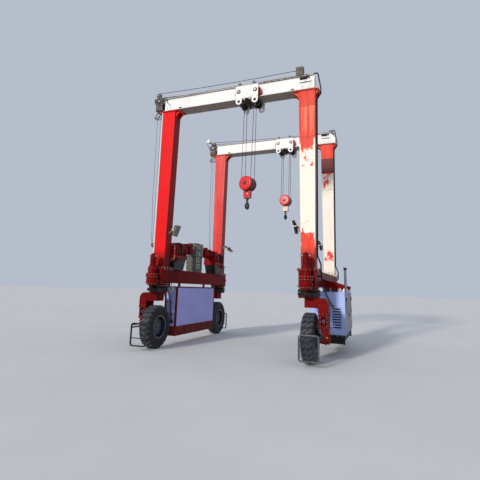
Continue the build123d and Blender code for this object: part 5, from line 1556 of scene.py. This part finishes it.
# round lamp on its arm at the left end of the rear beam, with the cable's loop
P.use("black_paint")
P.tube([Vector((-2.612, 2.018, 7.885)), Vector((-2.702, 2.018, 7.958)), Vector((-2.822, 2.012, 8.052))], 0.026, 16)
P.box((-2.612, 2.022, 7.872), (0.130, 0.090, 0.012), None, 0.003)
P.box((-2.846, 2.010, 8.072), (0.050, 0.030, 0.060), rot("Y", -51), 0.004)
P.lathe((-2.862, 1.985, 8.085), (0, 1, 0), [(0.088, -0.024), (0.088, 0.0), (0.070, 0.016), (0.030, 0.022), (0, 0.022)], 40)
P.tube([Vector((-2.930, 1.990, 8.130)), Vector((-2.942, 2.000, 8.060)), Vector((-2.925, 2.006, 7.960)), Vector((-2.868, 2.010, 7.870)), Vector((-2.812, 2.016, 7.848))], 0.009, 10)
P.use("knob")
P.lathe((-2.862, 1.962, 8.085), (0, -1, 0), [(0.087, -0.001), (0.088, 0.020), (0.084, 0.034), (0.074, 0.036), (0.070, 0.030), (0.050, 0.036), (0, 0.040)], 44)
o = P.done("root", "lamp_housing")
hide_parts("floodlights")

# ---------------------------------------------------------------- power pack
P = Parts("power_pack_fittings")
for s in (-1, 1):
    y = s * 1.180
    # slanted hoods over the cooling slots
    P.use("panel")
    for i in range(8):
        z = 0.806 + 0.070 * i
        P.prism([(2.709, y - s * 0.002, z + 0.030), (2.709, y + s * 0.014, z + 0.020), (2.709, y + s * 0.012, z + 0.017), (2.709, y - s * 0.002, z + 0.024)], (0.236, 0, 0))
        for x in (2.709, 2.9425):
            P.prism([(x, y - s * 0.002, z + 0.030), (x, y + s * 0.014, z + 0.020), (x, y - s * 0.002, z + 0.010)], (0.0025, 0, 0))
    # frame round the louvre field, seams of the end sheets, bolts
    P.box((2.827, y + s * 0.002, 1.350), (0.270, 0.006, 0.012), None, 0.002)
    P.box((2.827, y + s * 0.002, 0.765), (0.270, 0.006, 0.012), None, 0.002)
    for x in (2.692, 2.962):
        P.box((x, y + s * 0.002, 1.0575), (0.012, 0.006, 0.597), None, 0.002)
    P.box((2.560, y + s * 0.003, 1.182), (0.016, 0.006, 1.100), None, 0.002)
    P.use("rope_dark")
    P.box((2.545, y + s * 0.0006, 1.182), (0.004, 0.002, 1.090), None, 0.0005)
    P.box((2.335, y + s * 0.0006, 1.66), (0.41, 0.002, 0.004), None, 0.0005)
    P.use("bolt")
    for x in (2.14, 2.28, 2.42, 2.58, 2.72, 2.86, 3.02):
        for z in (0.645, 1.722):
            P.bolt((x, y, z), (0, s, 0), 0.014, 0.008)
    for z in (0.80, 0.98, 1.16, 1.34, 1.52):
        for x in (2.14, 2.575, 3.02):
            P.bolt((x, y, z), (0, s, 0), 0.012, 0.007, False)
    P.use("steel")
    P.tube([(2.46, y - s * 0.002, 1.10), (2.46, y + s * 0.030, 1.10), (2.46, y + s * 0.030, 1.22), (2.46, y - s * 0.002, 1.22)], 0.006, 10)
    # roof edge trim
    P.use("panel")
    P.box((2.580, y - s * 0.004, 1.752), (0.944, 0.020, 0.012), None, 0.004)
    # triangular brackets between the roof and the carriers
    P.use("white")
    P.prism([(2.955, s * 1.062, 1.749), (3.046, s * 1.062, 1.749), (3.046, s * 1.062, 1.855), (3.025, s * 1.062, 1.862)], (0, s * 0.010, 0))
    P.prism([(2.955, s * 1.128, 1.749), (3.046, s * 1.128, 1.749), (3.046, s * 1.128, 1.855), (3.025, s * 1.128, 1.862)], (0, s * 0.010, 0))
    for x in (2.66, 2.90):
        P.prism([(x - 0.006, s * 1.02, 1.750), (x - 0.006, s * 1.15, 1.750), (x - 0.006, s * 1.12, 1.862), (x - 0.006, s * 1.08, 1.862)], (0.012, 0, 0))
        P.box((x, s * 1.10, 1.756), (0.110, 0.120, 0.012), None, 0.003)
    P.use("bolt")
    for x in (2.60, 2.99):
        for ox in (-0.026, 0.026):
            P.bolt((x + ox, s * 1.10 - s * 0.037, 1.83), (0, -s, 0), 0.014, 0.008, False)
# roof: folded seams, lifting eyes and a cap
P.use("panel")
for y in (-0.80, -0.40, 0.30, 0.72):
    P.box((2.580, y, 1.755), (0.90, 0.022, 0.014), None, 0.004)
P.use("white")
for y in (-1.0, 1.0):
    P.ring((2.30, y, 1.775), (0, 1, 0), 0.028, 0.008, 24, 10)
P.use("black")
P.lathe((2.42, 0.45, 1.750), (0, 0, 1), [(0.060, 0), (0.060, 0.030), (0.085, 0.034), (0.085, 0.095), (0.070, 0.110), (0, 0.114)], 32)
P.use("bolt")
P.circle((2.988, -0.080, 1.780), (0, 0, 1), 0.052, 6, 0.012, 0.008, 0.5, washer=False)
P.use("brass")
P.cyl((2.732, -1.184, 1.362), (2.732, -1.228, 1.362), 0.036, 20)
# exhaust: clamp rings, rolled cap rim and hinged rain flap
P.use("exhaust")
for z in (1.86, 2.12, 2.36):
    P.lathe((2.988, -0.080, z), (0, 0, 1), [(0.037, -0.010), (0.043, -0.007), (0.043, 0.007), (0.037, 0.010)], 28)
P.use("black")
P.lathe((2.988, -0.080, 2.418), (0, 0, 1), [(0.037, 0.0), (0.0495, 0.004), (0.0505, 0.030), (0.0505, 0.066), (0.046, 0.073), (0.030, 0.073)], 32)
P.use("knob")
P.prism([(2.938, -0.125, 2.508), (3.023, -0.125, 2.530), (3.023, -0.035, 2.530), (2.938, -0.035, 2.508)], (0.0, 0, 0.006))
P.use("steel")
P.cyl((2.941, -0.13, 2.503), (2.941, -0.03, 2.503), 0.007, 10)
# base: skirt bolts, foot and drain pipe under the near end
P.use("bolt")
for x in np.arange(2.18, 3.0, 0.13):
    for s in (-1, 1):
        P.bolt((x, s * 1.160, 0.590), (0, s, 0), 0.018, 0.010)
for y in np.arange(-1.08, 1.09, 0.216):
    P.bolt((3.030, y, 0.590), (1, 0, 0), 0.018, 0.010)
P.use("black_paint")
for s in (-1, 1):
    P.prism([(2.60, s * 1.05, 0.560), (2.84, s * 1.05, 0.560), (2.78, s * 1.05, 0.470), (2.66, s * 1.05, 0.470)], (0, s * 0.070, 0))
    P.box((2.72, s * 1.085, 0.462), (0.15, 0.09, 0.014), None, 0.003)
for y in np.arange(-0.9, 0.91, 0.45):
    P.box((3.008, y, 0.505), (0.034, 0.016, 0.110), None, 0.003)
P.done("root", "white_paint")

for end, s in (("front", -1), ("rear", 1)):
    P = Parts(end + "_door_fittings")
    x = 3.050
    # small control panel with two black handles
    P.use("lamp_arm")
    P.box((x + 0.002, s * 0.80, 1.560), (0.008, 0.300, 0.150), None, 0.003)
    P.use("black")
    for yy in (s * 0.72, s * 0.88):
        P.tube([(x + 0.004, yy, 1.600), (x + 0.018, yy, 1.598), (x + 0.018, yy, 1.524), (x + 0.004, yy, 1.520)], 0.008, 10)
    # slot hoods, edge fold, latch handle and lock
    P.use("door")
    for i in range(5):
        y = s * (0.460 + 0.070 * i)
        P.prism([(x - 0.002, y - 0.019, 1.165), (x + 0.010, y - 0.010, 1.165), (x + 0.010, y - 0.007, 1.165), (x - 0.002, y - 0.013, 1.165)], (0, 0, 0.330))
    ya, yb = sorted((s * 0.024, s * 1.118))
    P.box((x + 0.0015, (ya + yb) / 2, 0.672), (0.006, yb - ya, 0.014), None, 0.002)
    P.box((x + 0.0015, (ya + yb) / 2, 1.690), (0.006, yb - ya, 0.014), None, 0.002)
    for yy in (s * 0.030, s * 1.085):
        P.box((x + 0.0015, yy, 1.181), (0.006, 0.014, 1.010), None, 0.002)
    P.use("steel")
    P.box((x + 0.003, s * 0.11, 1.10), (0.010, 0.060, 0.150), None, 0.003)
    P.tube([(x + 0.004, s * 0.11, 1.150), (x + 0.036, s * 0.11, 1.146), (x + 0.036, s * 0.11, 1.056), (x + 0.004, s * 0.11, 1.050)], 0.007, 10)
    P.use("black")
    P.lathe((x + 0.001, s * 0.20, 1.10), (1, 0, 0), [(0.016, 0), (0.016, 0.006), (0.006, 0.006), (0.005, 0.002), (0, 0.002)], 18)
    P.use("bolt")
    for hz_ in (0.800, 1.180, 1.560):
        for q in (-0.018, 0.018):
            P.bolt((x + 0.0035, s * 1.117 - s * 0.014, hz_ + q), (1, 0, 0), 0.011, 0.006, False)
    for z in (0.72, 1.64):
        for yy in (0.10, 0.35, 0.60, 0.85, 1.05):
            P.bolt((x, s * yy, z), (1, 0, 0), 0.010, 0.005, False)
    P.done(end + "_door", "white_paint")

# -------------------------------------------------------------- left cabinet
P = Parts("cabinet_fittings")
for x, q in ((-2.035, 1), (-2.465 - 0.0, -1)):
    xf = -2.035 if q > 0 else -2.465
    P.use("cabinet")
    for y in np.arange(-1.34, 1.30, 0.18):
        for z in (0.600, 1.724):
            P.bolt((xf, y, z), (q, 0, 0), 0.014, 0.007)
P.use("bolt")
for x in (-2.43, -2.33, -2.17, -2.07):
    for z in (0.62, 0.90, 1.45, 1.73):
        P.bolt((x, -1.450 if z in (0.62, 1.73) else -1.447, z if z not in (0.62, 1.73) else (0.55 if z == 0.62 else 1.77)), (0, -1, 0), 0.014, 0.008)
for y in (-1.300, 1.250):
    for x in (-2.438, -2.062):
        for s in (-1, 1):
            P.bolt((x + (0.030 if x > -2.2 else -0.030), y + s * 0.0, 1.82 + 0.02 * s), (1 if x > -2.2 else -1, 0, 0), 0.018, 0.009, False)
P.use("red_in_shade")
for y in np.arange(-1.25, 1.25, 0.42):
    P.box((-2.030, y, 0.425), (0.010, 0.050, 0.250), None, 0.003)
P.done("root", "white_paint")

# ------------------------------------------------------------ floor and light
P = Parts("floor")
n = 96
M["floor"] = None
k = Mat("floor_pale")
M["floor"] = k.done(k.mix(k.step(k.noise(0.35, 5, 0.6), 0.3, 0.75), (0.64, 0.64, 0.635), (0.68, 0.68, 0.675)), 0.85,
                    normal=k.bump(k.noise(30, 4, 0.6), 0.12, 0.003))
P.use("floor")
P.add([(200 * math.cos(2 * math.pi * i / n), 200 * math.sin(2 * math.pi * i / n), 0.0) for i in range(n)], [tuple(range(n))])
floor = P.done(None, None, hand_over=False)

world = bpy.data.worlds.new("world")
bpy.context.scene.world = world
world.use_nodes = True
bg = world.node_tree.nodes["Background"]
bg.inputs[0].default_value = (0.78, 0.85, 1.0, 1)
bg.inputs[1].default_value = 0.60


def sun(name, direction, strength, angle, color=(1, 1, 1)):
    d = bpy.data.lights.new(name, "SUN")
    d.energy, d.angle, d.color = strength, angle, color
    o = bpy.data.objects.new(name, d)
    o.rotation_euler = Vector(direction).to_track_quat("-Z", "Y").to_euler()
    bpy.context.scene.collection.objects.link(o)


sun("key", (0.30, 1.0, -0.38), 2.7, math.radians(7), (1.0, 0.95, 0.88))
bpy.context.scene.view_settings.view_transform = "Standard"
